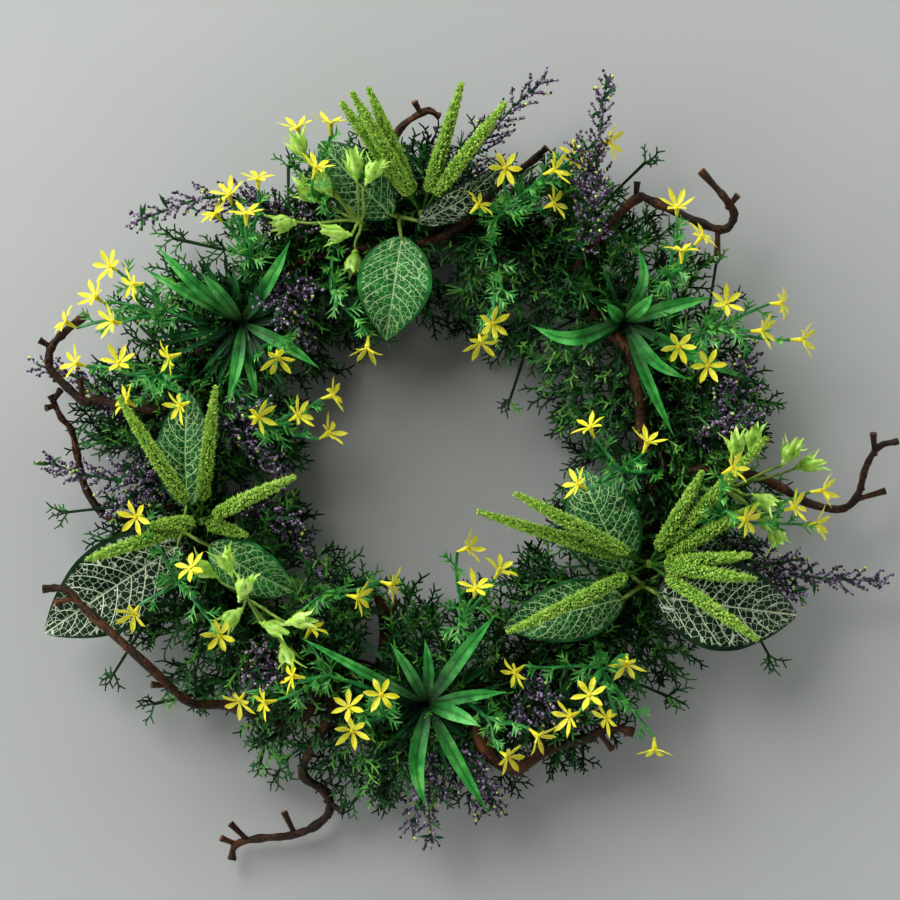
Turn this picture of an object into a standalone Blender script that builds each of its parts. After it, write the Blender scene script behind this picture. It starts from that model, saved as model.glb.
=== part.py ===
"""A mixed flower wreath lying on its back. A ring of twisted vine carries twigs, net-veined leaves,
seed spikes, strap-leaf tufts, bud sprays, star-flower sprays, lavender sprays and forked greens.
Places in the tables are millimetres from the ring's centre; everything else is in metres."""

import math
import random

import bmesh
import bpy
from mathutils import Matrix, Vector
from mathutils.bvhtree import BVHTree

MM = 0.001
SEED = 58
UP = Vector((0, 0, 1))

# The vine ring: its centre line, the mean thickness of its three twisted strands and their twist.
RING_RADIUS = 182 * MM
RING_TUBE = 17 * MM
RING_HEIGHT = 17 * MM
RING_STEPS = 32
RING_SIDES = 9
STRANDS = 3
STRAND_RIDGE = 0.16
STRAND_TURNS = 4

# Every root stands this far off the vine, let down in these steps, and every stem keeps this far from
# the pieces beside it. Nothing but the vine reaches below the lowest height.
ROOT_GAP = 0.4 * MM
ROOT_STEP = 0.1 * MM
CLEARANCE = 0.3 * MM
LOWEST = 2 * MM

# A star flower: how far its petals and the notches between them reach, how far the tips turn up, and
# the funnel behind them.
PETALS = 6
PETAL_REACH = 14 * MM
PETAL_NOTCH = 4.2 * MM
PETAL_CUP = 3.2 * MM
HEAD_RISE = 1.4 * MM
HEAD_DEPTH = 2.2 * MM
FUNNEL_LENGTH = 9 * MM
FUNNEL_RADIUS = 1.3 * MM
STALK_RADIUS = 0.9 * MM

# A seed spike: the parts of its length where its radius is stated, as parts of the full radius.
SPIKE_RADIUS = 5.6 * MM
SPIKE_STOPS = (0, 0.16, 0.24, 0.5, 0.8, 1)
SPIKE_SHAPE = (0.26, 0.28, 0.88, 1.0, 0.8, 0.28)

# A net-veined leaf: the facets along and across its blade, and how far it puckers between the veins.
LEAF_COLUMNS = 5
LEAF_ROWS = 4
LEAF_PUCKER = 2.4 * MM

# The thickness of a leaf, the size of a bead and a cut nub's radius at both ends.
BLADE = 0.8 * MM
BEAD_RADIUS = 2.1 * MM
NUB_RADII = (1.9 * MM, 2.8 * MM)

NUB_FORK = [(-38, -165, 20), (-34, -135, 25), (-36, -116, 30), (-40, -102, 33)]
NUB_TWIG = [(-35, -124, 28), (-25, -106, 33)]

# Each twig: its route from the ring outwards, its radii at both ends, and the ends of its cut nubs.
BRANCHES = {
    "top": (
        [(-34, 187, 0), (-31, 205, 48), (-26, 245, 44), (-4, 263, 40), (7, 260, 36)],
        (4.5, 2.6),
        [((-7, 261, 41), (-12, 270, 46))],
    ),
    "top_right": (
        [
            (-106, 142, 44), (-98, 150, 43), (-49, 160, 42.5), (-8, 163, 43), (26, 178, 43),
            (52, 206, 40), (84, 232, 36),
        ],
        (4.2, 3.0),
        [((-20, 163, 43), (-18, 150, 50)), ((80, 229, 37), (88, 236, 41))],
    ),
    "upper_right": (
        [
            (112, 146, 0), (130, 171, 44), (155, 197, 42), (170, 194, 42), (203, 179, 44),
            (222, 174, 46), (229, 185, 48), (222, 197, 50), (203, 217, 54),
        ],
        (4.4, 3.2),
        [
            ((155, 196, 42), (156, 210, 44)), ((224, 190, 49), (231, 199, 54)),
            ((217, 175, 45), (217, 154, 42)),
        ],
    ),
    "right_inner": (
        [(122, 112, 43.5), (128, 101, 44), (149, 83, 45), (156, 56, 44), (160, 19, 43), (161, 8, 43)],
        (6.0, 4.4),
        [((150, 80, 45), (160, 74, 52))],
    ),
    "right": (
        [
            (189, -6, 0), (204, -8, 46), (243, -12, 44), (263, -20, 42), (284, -32, 40),
            (310, -37, 38), (323, -27, 40), (329, -5, 44), (338, 10, 46), (353, 14, 44),
        ],
        (4.8, 2.6),
        [((321, -30, 39), (344, -23, 42)), ((335, 5, 45), (333, 20, 52))],
    ),
    "bottom_right": (
        [
            (34, -184, 0), (38, -212, 52), (62, -233, 44), (90, -218, 38), (119, -210, 38),
            (136, -202, 38), (154, -206, 38),
        ],
        (6.5, 3.4),
        [((128, -206, 38), (138, -219, 36))],
    ),
    "bottom_left": (
        [
            (-72, -176, 0), (-78, -198, 40), (-97, -236, 26), (-80, -253, 20), (-77, -268, 16),
            (-88, -280, 13), (-107, -287, 11), (-133, -290, 10), (-149, -295, 10), (-152, -306, 12),
        ],
        (4.6, 3.0),
        [
            ((-140, -291, 10), (-153, -278, 13)), ((-149, -294, 10), (-160, -289, 14)),
            ((-104, -286, 11), (-112, -269, 14)), ((-79, -260, 18), (-66, -268, 22)),
        ],
    ),
    "left_low": (
        [
            (-78, -166, 0), (-92, -190, 44), (-107, -200, 42), (-129, -194, 41), (-155, -185, 42),
            (-181, -182, 53), (-211, -152, 72), (-254, -114, 70), (-272, -97, 68), (-289, -96, 66),
        ],
        (4.6, 3.2),
        [((-194, -169, 61), (-208, -168, 67)), ((-265, -103, 69), (-279, -107, 74))],
    ),
    "left_mid": (
        [
            (-186, -34, 0), (-206, -38, 42), (-242, -44, 36), (-260, -23, 34), (-267, 3, 34),
            (-272, 23, 34), (-279, 32, 36), (-287, 49, 38),
        ],
        (4.2, 2.4),
        [((-283, 41, 37), (-290, 39, 42)), ((-285, 45, 38), (-279, 53, 42))],
    ),
    "left_up": (
        [
            (-184, 34, 0), (-202, 37, 50), (-225, 39, 48), (-251, 45, 44), (-262, 45, 44),
            (-284, 65, 44), (-287, 76, 46), (-284, 87, 48), (-273, 98, 50), (-258, 109, 52),
        ],
        (4.2, 3.4),
        [((-262, 45, 44), (-264, 62, 46)), ((-284, 84, 47), (-294, 90, 50))],
    ),
}

# Each leaf plant: where it stands, then each leaf's base, tip, width, mid-leaf rise, and side tilt.
LEAF_PLANTS = {
    "top": (
        (-24, 183),
        [
            ((-21, 168, 62), (-33, 90, 54), 56, 12, 0.0),
            ((-28, 182, 60), (-84, 240, 50), 45, 12, -0.1),
            ((-10, 178, 62), (53, 221, 58), 30, 8, 0.75),
        ],
    ),
    "left": (
        (-186, -54),
        [
            ((-186, -62, 60), (-291, -131, 44), 68, 12, 0.0),
            ((-182, -36, 60), (-182, 53, 56), 45, 10, -0.1),
            ((-166, -64, 62), (-100, -100, 54), 40, 10, 0.1),
        ],
    ),
    "right": (
        (160, -94),
        [
            ((147, -84, 60), (110, -6, 50), 54, 12, 0.0),
            ((146, -104, 60), (55, -126, 58), 46, 12, 0.1),
            ((170, -102, 60), (277, -117, 46), 68, 14, 0.0),
            ((172, -86, 50), (246, -62, 38), 34, 8, 0.1),
        ],
    ),
}

# Each cluster of spikes: where it stands, then each spike's tip and the rise of its arch.
SPIKE_CLUSTERS = {
    "top": (
        (-6, 185),
        [
            (-66, 266, 78, 18), (-58, 272, 98, 20), (-46, 277, 82, 12), (24, 280, 86, 16),
            (56, 264, 96, 16),
        ],
    ),
    "left": (
        (-172, -46),
        [
            (-230, 47, 92, 18), (-158, 55, 96, 18), (-99, -12, 88, 26),
            (-207, -48, 92, 22), (-255, -74, 84, 22), (-136, -56, 74, 10),
        ],
    ),
    "right": (
        (164, -78),
        [
            (35, -38, 76, 16), (62, -24, 98, 18), (57, -128, 82, 22), (202, -8, 92, 14),
            (249, 17, 98, 18), (245, -32, 88, 14), (238, -70, 96, 14), (241, -88, 76, 12),
            (243, -133, 90, 16),
        ],
    ),
}

# Each tuft: where it stands, then each leaf's tip, width and rise.
STRAP_TUFTS = {
    "left": (
        (-141, 103),
        [
            (-206, 162, 60, 9, 22), (-218, 146, 52, 7, 14), (-171, 140, 84, 9, 12),
            (-104, 164, 72, 10, 20), (-152, 44, 64, 9, 20), (-129, 42, 56, 8, 14), (-82, 68, 66, 9, 20),
        ],
    ),
    "right": (
        (146, 104),
        [
            (74, 102, 64, 11, 22), (131, 116, 92, 9, 14), (153, 160, 88, 8, 18), (166, 124, 84, 9, 10),
            (213, 122, 66, 10, 22), (196, 60, 62, 9, 18), (243, 59, 56, 9, 22), (184, 16, 58, 8, 22),
        ],
    ),
    "bottom": (
        (-2, -184),
        [
            (50, -113, 92, 11, 20), (-2, -262, 62, 12, 20), (44, -266, 54, 10, 24),
            (38, -198, 84, 11, 12), (-97, -131, 86, 7, 34), (-30, -135, 84, 8, 14),
            (-4, -133, 66, 8, 14), (58, -173, 76, 9, 16),
        ],
    ),
}

# Each bud spray: where it stands, where it forks, then each pod's place and heading in degrees.
BUD_SPRAYS = {
    "top": (
        (-46, 176),
        (-52, 178, 66),
        [
            (-96, 232, 80, 110), (-107, 177, 72, 185), (-55, 216, 86, 95), (-43, 212, 92, 60),
            (-90, 199, 62, 140), (-78, 204, 80, 125), (-67, 168, 84, 175), (-57, 150, 64, 260),
        ],
    ),
    "lower_left": (
        (-150, -98),
        (-136, -104, 66),
        [
            (-166, -83, 76, 150), (-150, -78, 84, 110), (-138, -96, 96, 70), (-146, -116, 74, 220),
            (-118, -124, 80, 340), (-108, -144, 72, 290), (-98, -119, 92, 10),
        ],
    ),
    "right": (
        (186, -24),
        (222, -22, 62),
        [
            (241, 14, 70, 80), (268, 3, 66, 60), (282, -4, 58, 15), (248, -30, 80, 330),
            (250, -44, 62, 320), (258, -54, 70, 290), (228, 8, 84, 100),
        ],
    ),
}

# Each star-flower spray: where it stands, then each fork's place with its heads. A head's numbers are
# its place and where it faces: the heading in degrees and the angle above level.
STAR_SPRAYS = {
    "top_left": (
        (-126, 128),
        [
            (
                (-134, 152, 66),
                [
                    (-128, 209, 78, 90, 30), (-150, 198, 70, 105, 35), (-136, 182, 92, 90, 25),
                    (-160, 184, 66, 130, 25),
                ],
            ),
        ],
    ),
    "left_high": (
        (-156, 92),
        [
            (
                (-198, 112, 64),
                [
                    (-238, 144, 76, 150, 55), (-250, 122, 66, 140, 35), (-220, 130, 88, 190, 30),
                    (-236, 103, 80, 170, 40), (-272, 103, 66, 150, 20),
                ],
            )
        ],
    ),
    "left": (
        (-173, 62),
        [
            (
                (-204, 62, 68),
                [
                    (-264, 72, 72, 165, 35), (-230, 72, 92, 95, 55), (-192, 76, 96, 200, 20),
                    (-184, 40, 100, 205, 35), (-226, 44, 72, 150, 30),
                ],
            )
        ],
    ),
    "inner_left": (
        (-160, 70),
        [
            ((-112, 92, 62), [(-113, 76, 82, 280, 50)]),
            (
                (-122, 24, 62),
                [
                    (-73, 48, 72, 15, 15), (-76, 20, 66, 30, 25), (-98, 33, 84, 30, 35),
                    (-127, 32, 90, 0, 40),
                ],
            ),
        ],
    ),
    "top": (
        (-72, 166),
        [
            ((-78, 196, 62), [(-74, 250, 78, 88, 15), (-99, 248, 66, 100, 20), (-84, 216, 94, 70, 25)]),
            ((-74, 128, 60), [(-47, 84, 66, 265, 15)]),
        ],
    ),
    "upper": (
        (42, 172),
        [
            (
                (56, 186, 66),
                [
                    (56, 217, 84, 270, 80), (36, 190, 76, 45, 20), (108, 226, 70, 60, 50),
                    (92, 215, 86, 20, 25), (92, 191, 72, 20, 30), (134, 238, 66, 0, 25),
                ],
            ),
            ((54, 128, 62), [(46, 101, 80, 0, 60), (38, 88, 66, 280, 45)]),
        ],
    ),
    "right": (
        (178, 66),
        [
            (
                (206, 96, 68),
                [
                    (220, 116, 84, 60, 60), (262, 117, 70, 0, 25), (246, 96, 84, 0, 35),
                    (278, 90, 68, 0, 20), (184, 84, 96, 270, 75), (206, 70, 88, 270, 85),
                ],
            ),
            ((180, 136, 66), [(184, 188, 78, 90, 40), (202, 166, 84, 50, 25), (186, 154, 96, 90, 15)]),
        ],
    ),
    "inner_right": (
        (172, -8),
        [((142, -8, 72), [(119, 24, 84, 115, 25), (161, 13, 88, 70, 20), (110, -18, 92, 150, 30)])],
    ),
    "far_right": (
        (183, -46),
        [
            (
                (214, -46, 66),
                [
                    (222, -6, 84, 30, 30), (233, -44, 94, 340, 45), (292, -23, 76, 5, 20),
                    (270, -35, 88, 20, 35), (289, -48, 66, 0, 25),
                ],
            ),
        ],
    ),
    "inner_bottom": (
        (16, -176),
        [
            ((22, -124, 66), [(28, -66, 68, 20, 25), (52, -82, 78, 60, 30), (34, -95, 90, 80, 40)]),
            ((42, -192, 68), [(80, -205, 82, 320, 30), (58, -221, 74, 330, 45)]),
        ],
    ),
    "inner_low": (
        (-114, -130),
        [((-84, -104, 64), [(-54, -102, 80, 350, 25), (-29, -93, 72, 345, 20)])],
    ),
    "left_low": (
        (-174, -78),
        [
            (
                (-188, -92, 66),
                [
                    (-216, -42, 102, 200, 65), (-176, -80, 96, 130, 50), (-220, -114, 76, 240, 45),
                    (-156, -130, 78, 260, 75),
                ],
            ),
        ],
    ),
    "bottom_left": (
        (-40, -176),
        [
            (
                (-74, -162, 68),
                [
                    (-89, -126, 70, 60, 20), (-101, -160, 86, 170, 20), (-142, -180, 72, 240, 40),
                    (-122, -180, 84, 190, 20),
                ],
            ),
            (
                (-34, -190, 64),
                [(-36, -174, 88, 90, 80), (-60, -184, 78, 120, 55), (-57, -200, 92, 250, 70)],
            ),
        ],
    ),
    "bottom_right": (
        (120, -136),
        [
            (
                (128, -156, 66),
                [
                    (64, -158, 74, 215, 30), (146, -151, 86, 265, 45), (118, -174, 94, 100, 60),
                    (104, -190, 84, 200, 35), (132, -192, 76, 200, 30), (168, -216, 66, 270, 20),
                ],
            ),
        ],
    ),
}

# Each lavender spray: where it stands, then the route of each of its stems.
LAVENDER_SPRAYS = {
    "top_left": ((-100, 156), [[(-112, 182, 50), (-160, 198, 56), (-223, 180, 46)]]),
    "upper": ((14, 180), [[(22, 212, 54), (56, 258, 58), (86, 286, 56)]]),
    "upper_right": ((104, 152), [[(120, 184, 56), (126, 236, 62), (132, 285, 62)]]),
    "inner_top_left": ((-116, 138), [[(-106, 120, 56), (-94, 88, 50)]]),
    "inner_left": ((-172, 20), [[(-146, 20, 52), (-120, 4, 52), (-112, -16, 50)]]),
    "left": ((-188, -14), [[(-214, -18, 50), (-254, -12, 50), (-290, -2, 46)]]),
    "inner_low": ((-158, -52), [[(-130, -38, 46), (-104, -52, 42), (-84, -86, 40)]]),
    "left_up": ((-190, 10), [[(-222, 24, 34), (-262, 60, 30), (-298, 72, 26)]]),
    "right": ((182, 28), [[(206, 20, 50), (230, 48, 54), (240, 88, 54)]]),
    "far_right": ((176, -62), [[(222, -76, 46), (284, -88, 44), (344, -92, 40)]]),
    "bottom_left": ((-112, -146), [[(-122, -152, 52), (-136, -160, 62)]]),
    "bottom": ((10, -192), [[(8, -220, 44), (-10, -266, 38)], [(24, -224, 46), (46, -254, 40)]]),
    "bottom_right": ((66, -168), [[(76, -184, 50), (104, -200, 52)]]),
}

# The greens: sectors round the ring, each with fronds that reach out and in, and a few longer ones.
FERN_SECTORS = 10
FRONDS_OUT = 2
FERN_OUT = 252
FERN_IN = 118
FROND_WHORLS = 3
WHORL_LENGTH = 3.2 * MM
RIB_RADII = (1.7 * MM, 1.0 * MM)
LONG_FRONDS = [
    (60, 44, 40), (-262, 8, 34), (-242, -164, 22), (-212, -186, 24), (-130, -232, 22), (-60, -262, 26),
    (62, -246, 28), (186, -182, 26), (258, -150, 28), (258, 44, 36), (216, 150, 44), (164, 226, 40),
    (-196, 168, 40), (-276, -40, 36), (-236, -86, 26),
]

# A stem's radius at its root, and the side twigs of a lavender spray.
STEM_RADIUS = 1.7 * MM
KNUCKLE_RADIUS = 3.4 * MM
LEAFLET_LENGTH = 13 * MM
TWIGS = 4

COLOURS = {
    "vine": (0.075, 0.032, 0.014),
    "twig": (0.060, 0.024, 0.011),
    "leaf": (0.022, 0.120, 0.030),
    "spike": (0.240, 0.470, 0.045),
    "strap": (0.020, 0.260, 0.060),
    "bud": (0.450, 0.680, 0.180),
    "star": (0.900, 0.780, 0.030),
    "lavender": (0.130, 0.060, 0.210),
    "fern": (0.012, 0.120, 0.030),
}

draw = random.Random(SEED)
finished_trees = []


def place(spot):
    """A table's place in metres."""
    return Vector(spot) * MM


def clear_scene():
    for scene_object in list(bpy.data.objects):
        bpy.data.objects.remove(scene_object)


def new_collection(name):
    collection = bpy.data.collections.new(name)
    bpy.context.scene.collection.children.link(collection)
    return collection


def material_named(name):
    material = bpy.data.materials.get(name)
    if material is None:
        material = bpy.data.materials.new(name)
        material.use_nodes = True
        shader = material.node_tree.nodes["Principled BSDF"]
        shader.inputs["Base Color"].default_value = (*COLOURS[name], 1)
        shader.inputs["Roughness"].default_value = 0.5
    return material


def mesh_from(bm, name="piece"):
    mesh = bpy.data.meshes.new(name)
    bm.to_mesh(mesh)
    bm.free()
    return mesh


def split_to_triangles(mesh):
    """Fixes how each face is split, so that the mesh and its search tree are one shape."""
    bm = bmesh.new()
    bm.from_mesh(mesh)
    bmesh.ops.triangulate(bm, faces=bm.faces)
    bm.to_mesh(mesh)
    bm.free()


def triangle_profile():
    """A three-cornered outline of unit radius, which a thin stem is swept with."""
    outline = bpy.data.curves.new("stem_profile", "CURVE")
    outline.dimensions = "2D"
    spline = outline.splines.new("POLY")
    spline.points.add(2)
    for corner, knot in enumerate(spline.points):
        angle = math.tau * corner / 3
        knot.co = (math.cos(angle), math.sin(angle), 0, 1)
    spline.use_cyclic_u = True
    guide = bpy.data.objects.new("stem_profile", outline)
    guide.hide_render = True
    guide.display_type = "WIRE"
    guides.objects.link(guide)
    return guide


def tube(points, radii, resolution=None):
    """A stalk through the points with closed ends: three-sided, or round with a bevel resolution."""
    curve = bpy.data.curves.new("stalk", "CURVE")
    curve.dimensions = "3D"
    if resolution is None:
        curve.bevel_mode = "OBJECT"
        curve.bevel_object = stem_profile
    else:
        curve.bevel_depth = 1
        curve.bevel_resolution = resolution
    curve.use_fill_caps = True
    spline = curve.splines.new("POLY")
    spline.points.add(len(points) - 1)
    for knot, point, radius in zip(spline.points, points, radii):
        knot.co = (*point, 1)
        knot.radius = radius
    guide = bpy.data.objects.new("stalk", curve)
    guides.objects.link(guide)
    graph = bpy.context.evaluated_depsgraph_get()
    swept = bpy.data.meshes.new_from_object(guide.evaluated_get(graph))
    bpy.data.objects.remove(guide)
    bpy.data.curves.remove(curve)
    bm = bmesh.new()
    bm.from_mesh(swept)
    bpy.data.meshes.remove(swept)
    bmesh.ops.remove_doubles(bm, verts=bm.verts, dist=0.01 * MM)
    bmesh.ops.recalc_face_normals(bm, faces=bm.faces)
    return mesh_from(bm)


def needle(base, tip, radius):
    """A three-sided needle, to see whether a point drawn out from base to tip would be clear."""
    span = tip - base
    turn = span.to_track_quat("Z", "Y").to_matrix().to_4x4()
    bm = bmesh.new()
    bmesh.ops.create_cone(
        bm, cap_ends=True, segments=3, radius1=radius, radius2=0, depth=span.length,
        matrix=Matrix.Translation((base + tip) / 2) @ turn,
    )
    return mesh_from(bm)


def root_point(spot, radius, resolution=None):
    """Where a stem end of this radius stands on the vine ring: let down until it all but touches."""
    centre = place((*spot, 0))
    height = RING_HEIGHT + RING_TUBE * (1 + STRAND_RIDGE) + 2 * ROOT_GAP
    while True:
        lower = centre + UP * (height - ROOT_STEP)
        stub = tube([lower, lower + UP * radius * 3], (radius, radius), resolution)
        touches = tree_of(stub, ROOT_GAP).overlap(ring_tree)
        bpy.data.meshes.remove(stub)
        if touches:
            return centre + UP * height
        height -= ROOT_STEP


def foot(spot, radius, top):
    """A short round stem base that stands on the vine ring."""
    root = root_point(spot, radius, 0)
    return tube([root, Vector((root.x, root.y, top))], (radius, radius * 0.8), 0)


def knuckle(centre, stem_ends=()):
    """A small swelling where stems fork. Its two upper faces that no stem leaves rise to leaflets."""
    bm = bmesh.new()
    bmesh.ops.create_uvsphere(
        bm, u_segments=4, v_segments=2, radius=KNUCKLE_RADIUS, matrix=Matrix.Translation(centre)
    )
    directions = [(end - centre).normalized() for end in stem_ends]
    outward = {face: (face.calc_center_median() - centre).normalized() for face in bm.faces}
    upper = [face for face in bm.faces if outward[face].z > 0]
    upper.sort(key=lambda face: max((outward[face].dot(way) for way in directions), default=0))
    for face in upper[:2] if directions else []:
        end = centre + outward[face] * LEAFLET_LENGTH
        guard = needle(centre, end, KNUCKLE_RADIUS)
        if is_clear(guard):
            bmesh.ops.poke(bm, faces=[face])["verts"][0].co = end
        bpy.data.meshes.remove(guard)
    bmesh.ops.recalc_face_normals(bm, faces=bm.faces)
    return mesh_from(bm)


def arch(start, end, rise, stops, sway=0.0):
    """Points of a stem that leaves start upwards and bends over to its end, at stops from 0 to 1."""
    side = (end - start).cross(UP)
    side = side.normalized() * sway if side.length > 0 else Vector()
    control = start.lerp(end, 0.4) + UP * rise + side
    return [start * (1 - t) ** 2 + control * 2 * t * (1 - t) + end * t * t for t in stops]


def tapered(first, last, count):
    return [first + (last - first) * step / (count - 1) for step in range(count)]


def tree_of(mesh, grown):
    """A search tree of the mesh, with its surface moved out by a margin."""
    corners = [vert.co + vert.normal * grown for vert in mesh.vertices]
    return BVHTree.FromPolygons(corners, [face.vertices[:] for face in mesh.polygons])


def is_clear(mesh):
    """Whether the mesh stays clear of every finished piece and above the surface."""
    if min(vert.co.z for vert in mesh.vertices) < LOWEST:
        return False
    tree = tree_of(mesh, CLEARANCE)
    return not any(tree.overlap(other) for other in finished_trees)


def first_clear(variants, what=""):
    """The first of the meshes that is clear, or None after a note."""
    for mesh in variants:
        if is_clear(mesh):
            return mesh
        bpy.data.meshes.remove(mesh)
    if what:
        print("no clear place for", what)
    return None


def fused(name, pieces, material):
    """One object of all the pieces, joined by a Boolean union."""
    base = bpy.data.objects.new(name, pieces[0])
    wreath.objects.link(base)
    base.data.name = name
    if len(pieces) > 1:
        repeats = new_collection("repeats")
        for mesh in pieces[1:]:
            repeats.objects.link(bpy.data.objects.new("repeat", mesh))
        union = base.modifiers.new("Union", "BOOLEAN")
        union.operation = "UNION"
        union.operand_type = "COLLECTION"
        union.collection = repeats
        union.solver = "MANIFOLD"
        graph = bpy.context.evaluated_depsgraph_get()
        joined = bpy.data.meshes.new_from_object(base.evaluated_get(graph))
        base.modifiers.remove(union)
        base.data = joined
        joined.name = name
        for repeat in list(repeats.objects):
            bpy.data.objects.remove(repeat)
        bpy.data.collections.remove(repeats)
    split_to_triangles(base.data)
    base.data.materials.clear()
    base.data.materials.append(material_named(material))
    base.data.shade_smooth()
    base.data.set_sharp_from_angle(angle=math.radians(40))
    finished_trees.append(tree_of(base.data, 0))
    return base


def build_vine_ring():
    """Three strands twisted into a ring, a forked nub in the hole, and a flat underside."""
    bpy.ops.mesh.primitive_torus_add(
        major_segments=RING_STEPS, minor_segments=RING_SIDES,
        major_radius=RING_RADIUS, minor_radius=RING_TUBE,
    )
    torus = bpy.context.object
    mesh = torus.data.copy()
    for vert in mesh.vertices:
        along = math.atan2(vert.co.y, vert.co.x)
        around = math.atan2(vert.co.z, vert.co.xy.length - RING_RADIUS)
        radius = RING_TUBE * (1 + STRAND_RIDGE * math.cos(STRANDS * around))
        turned = around + STRAND_TURNS * along
        reach = RING_RADIUS + radius * math.cos(turned)
        height = RING_HEIGHT + radius * math.sin(turned)
        vert.co = (reach * math.cos(along), reach * math.sin(along), height)
    bpy.data.objects.remove(torus)
    nub_route = [place(spot) for spot in NUB_FORK]
    nub = tube(nub_route, tapered(6 * MM, 3.6 * MM, len(nub_route)), 0)
    twig_route = [place(spot) for spot in NUB_TWIG]
    twig = tube(twig_route, (2.6 * MM, 1.8 * MM), 0)
    ring = fused("vine_ring", [mesh, nub, twig], "vine")
    bpy.ops.mesh.primitive_cube_add(size=1, location=(0, 0, -0.25), scale=(1, 1, 0.5))
    cutter = bpy.context.object
    cutter.name = "surface_cutter"
    cutter.hide_render = True
    cutter.display_type = "WIRE"
    for collection in list(cutter.users_collection):
        collection.objects.unlink(cutter)
    guides.objects.link(cutter)
    flat = ring.modifiers.new("Flat underside", "BOOLEAN")
    flat.operation = "DIFFERENCE"
    flat.object = cutter
    graph = bpy.context.evaluated_depsgraph_get()
    ring.data = bpy.data.meshes.new_from_object(ring.evaluated_get(graph))
    split_to_triangles(ring.data)
    ring.data.name = "vine_ring"
    ring.modifiers.remove(flat)
    bpy.data.objects.remove(cutter)
    finished_trees.clear()
    finished_trees.append(tree_of(ring.data, 0))
    return finished_trees[0]


def build_branch(name, route, radii, nubs):
    """A crooked twig. One that starts at height 0 stands on the vine, and the others lie along it."""
    thick, thin = (radius * MM for radius in radii)
    points = [place(spot) for spot in route]
    if route[0][2] == 0:
        root = root_point(route[0][:2], thick, 0)
        points[:1] = [root, root + UP * thick * 2.2]
    widths = tapered(thick, thin, len(points))
    for step in range(2, len(widths) - 1, 2):
        widths[step] *= 1.15
    for lift in (0, 0.5, 1, 2, 3, 5, 8, 12):
        raised = [point + UP * lift * MM if k > 1 else point for k, point in enumerate(points)]
        trunk = tube(raised, widths, 0)
        if is_clear(trunk):
            break
    else:
        print("no clear place for branch", name)
    pieces = [trunk]
    for base, tip in nubs:
        base, tip = place(base) + UP * lift * MM, place(tip) + UP * lift * MM
        nub = tube([base, tip], NUB_RADII)
        if is_clear(nub):
            pieces.append(nub)
    fused("branch_" + name, pieces, "twig")


def thickened(bm, shift):
    """The open surface with a shifted copy of itself and closed edges, split alike on both faces."""
    bmesh.ops.remove_doubles(bm, verts=bm.verts, dist=0.01 * MM)
    bmesh.ops.triangulate(bm, faces=bm.faces)
    made = bmesh.ops.extrude_face_region(bm, geom=bm.faces[:], use_keep_orig=True)["geom"]
    copied = [item for item in made if isinstance(item, bmesh.types.BMVert)]
    bmesh.ops.translate(bm, verts=copied, vec=shift)
    bmesh.ops.triangulate(bm, faces=bm.faces)
    bmesh.ops.recalc_face_normals(bm, faces=bm.faces)
    if bm.calc_volume(signed=True) < 0:
        bmesh.ops.reverse_faces(bm, faces=bm.faces)
    return mesh_from(bm)


def leaf_blade(base, tip, width, rise, tilt):
    """A leaf from base to tip: an arched, lightly folded and puckered blade with a pointed end."""
    bm = bmesh.new()
    bmesh.ops.create_grid(bm, x_segments=LEAF_COLUMNS, y_segments=LEAF_ROWS, size=1)
    along = tip - base
    side = UP.cross(along).normalized()
    side = (Matrix.Rotation(tilt, 4, along) @ side).normalized()
    raised = along.cross(side).normalized()
    for vert in bm.verts:
        t = (vert.co.x + 1) / 2
        across = vert.co.y
        half = 0.5 * width * math.sin(math.pi * t**0.8) ** 0.8 if 0 < t < 1 else 0
        column = round(t * LEAF_COLUMNS)
        lift = rise * math.sin(math.pi * t) + 0.22 * half * abs(across) * (1 - abs(across) * 0.4)
        lift += LEAF_PUCKER * (-1) ** column * abs(across) * (1 - abs(across)) * math.sin(math.pi * t)
        vert.co = base + along * t + side * across * half + raised * lift
    return thickened(bm, raised * BLADE)


def build_leaf_plant(name, spot, leaves):
    pieces = [foot(spot, 4 * MM, 58 * MM)]
    crown = place((*spot, 54))
    for number, (base, tip, width, rise, tilt) in enumerate(leaves):
        base, tip = place(base), place(tip)
        made = None
        for lift in (0, 3, -3, 6, -6, 9, 12, 15, -9, -12):
            shift = UP * lift * MM
            blade = leaf_blade(base + shift, tip + shift, width * MM, rise * MM, tilt)
            along = tip - base
            raised = along.cross(UP.cross(along)).normalized()
            lifted = raised * rise * MM * math.sin(math.pi / LEAF_COLUMNS)
            midrib = (along / LEAF_COLUMNS + lifted).normalized()
            stalk_end = base + shift + midrib * 6 * MM + UP * BLADE / 2
            stalk = tube([crown - UP * 6 * MM, stalk_end], (1.6 * MM, 1.2 * MM))
            if is_clear(blade) and is_clear(stalk):
                made = [blade, stalk]
                break
        if made:
            pieces += made
        else:
            print("no clear place for leaf", name, number)
    fused("leaf_plant_" + name, pieces, "leaf")


def spike(start, tip, rise):
    """A tapered seed spike on a thin stalk, with its surface raised in grains."""
    points = arch(start, tip, rise, SPIKE_STOPS)
    mesh = tube(points, [SPIKE_RADIUS * part for part in SPIKE_SHAPE], 1)
    for number, vert in enumerate(mesh.vertices):
        nearest = min(points[2:], key=lambda point: (vert.co - point).length)
        if (vert.co - start).length > (points[1] - start).length * 1.2:
            vert.co = nearest + (vert.co - nearest) * (1.14 if number % 2 else 0.88)
    return mesh


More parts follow.
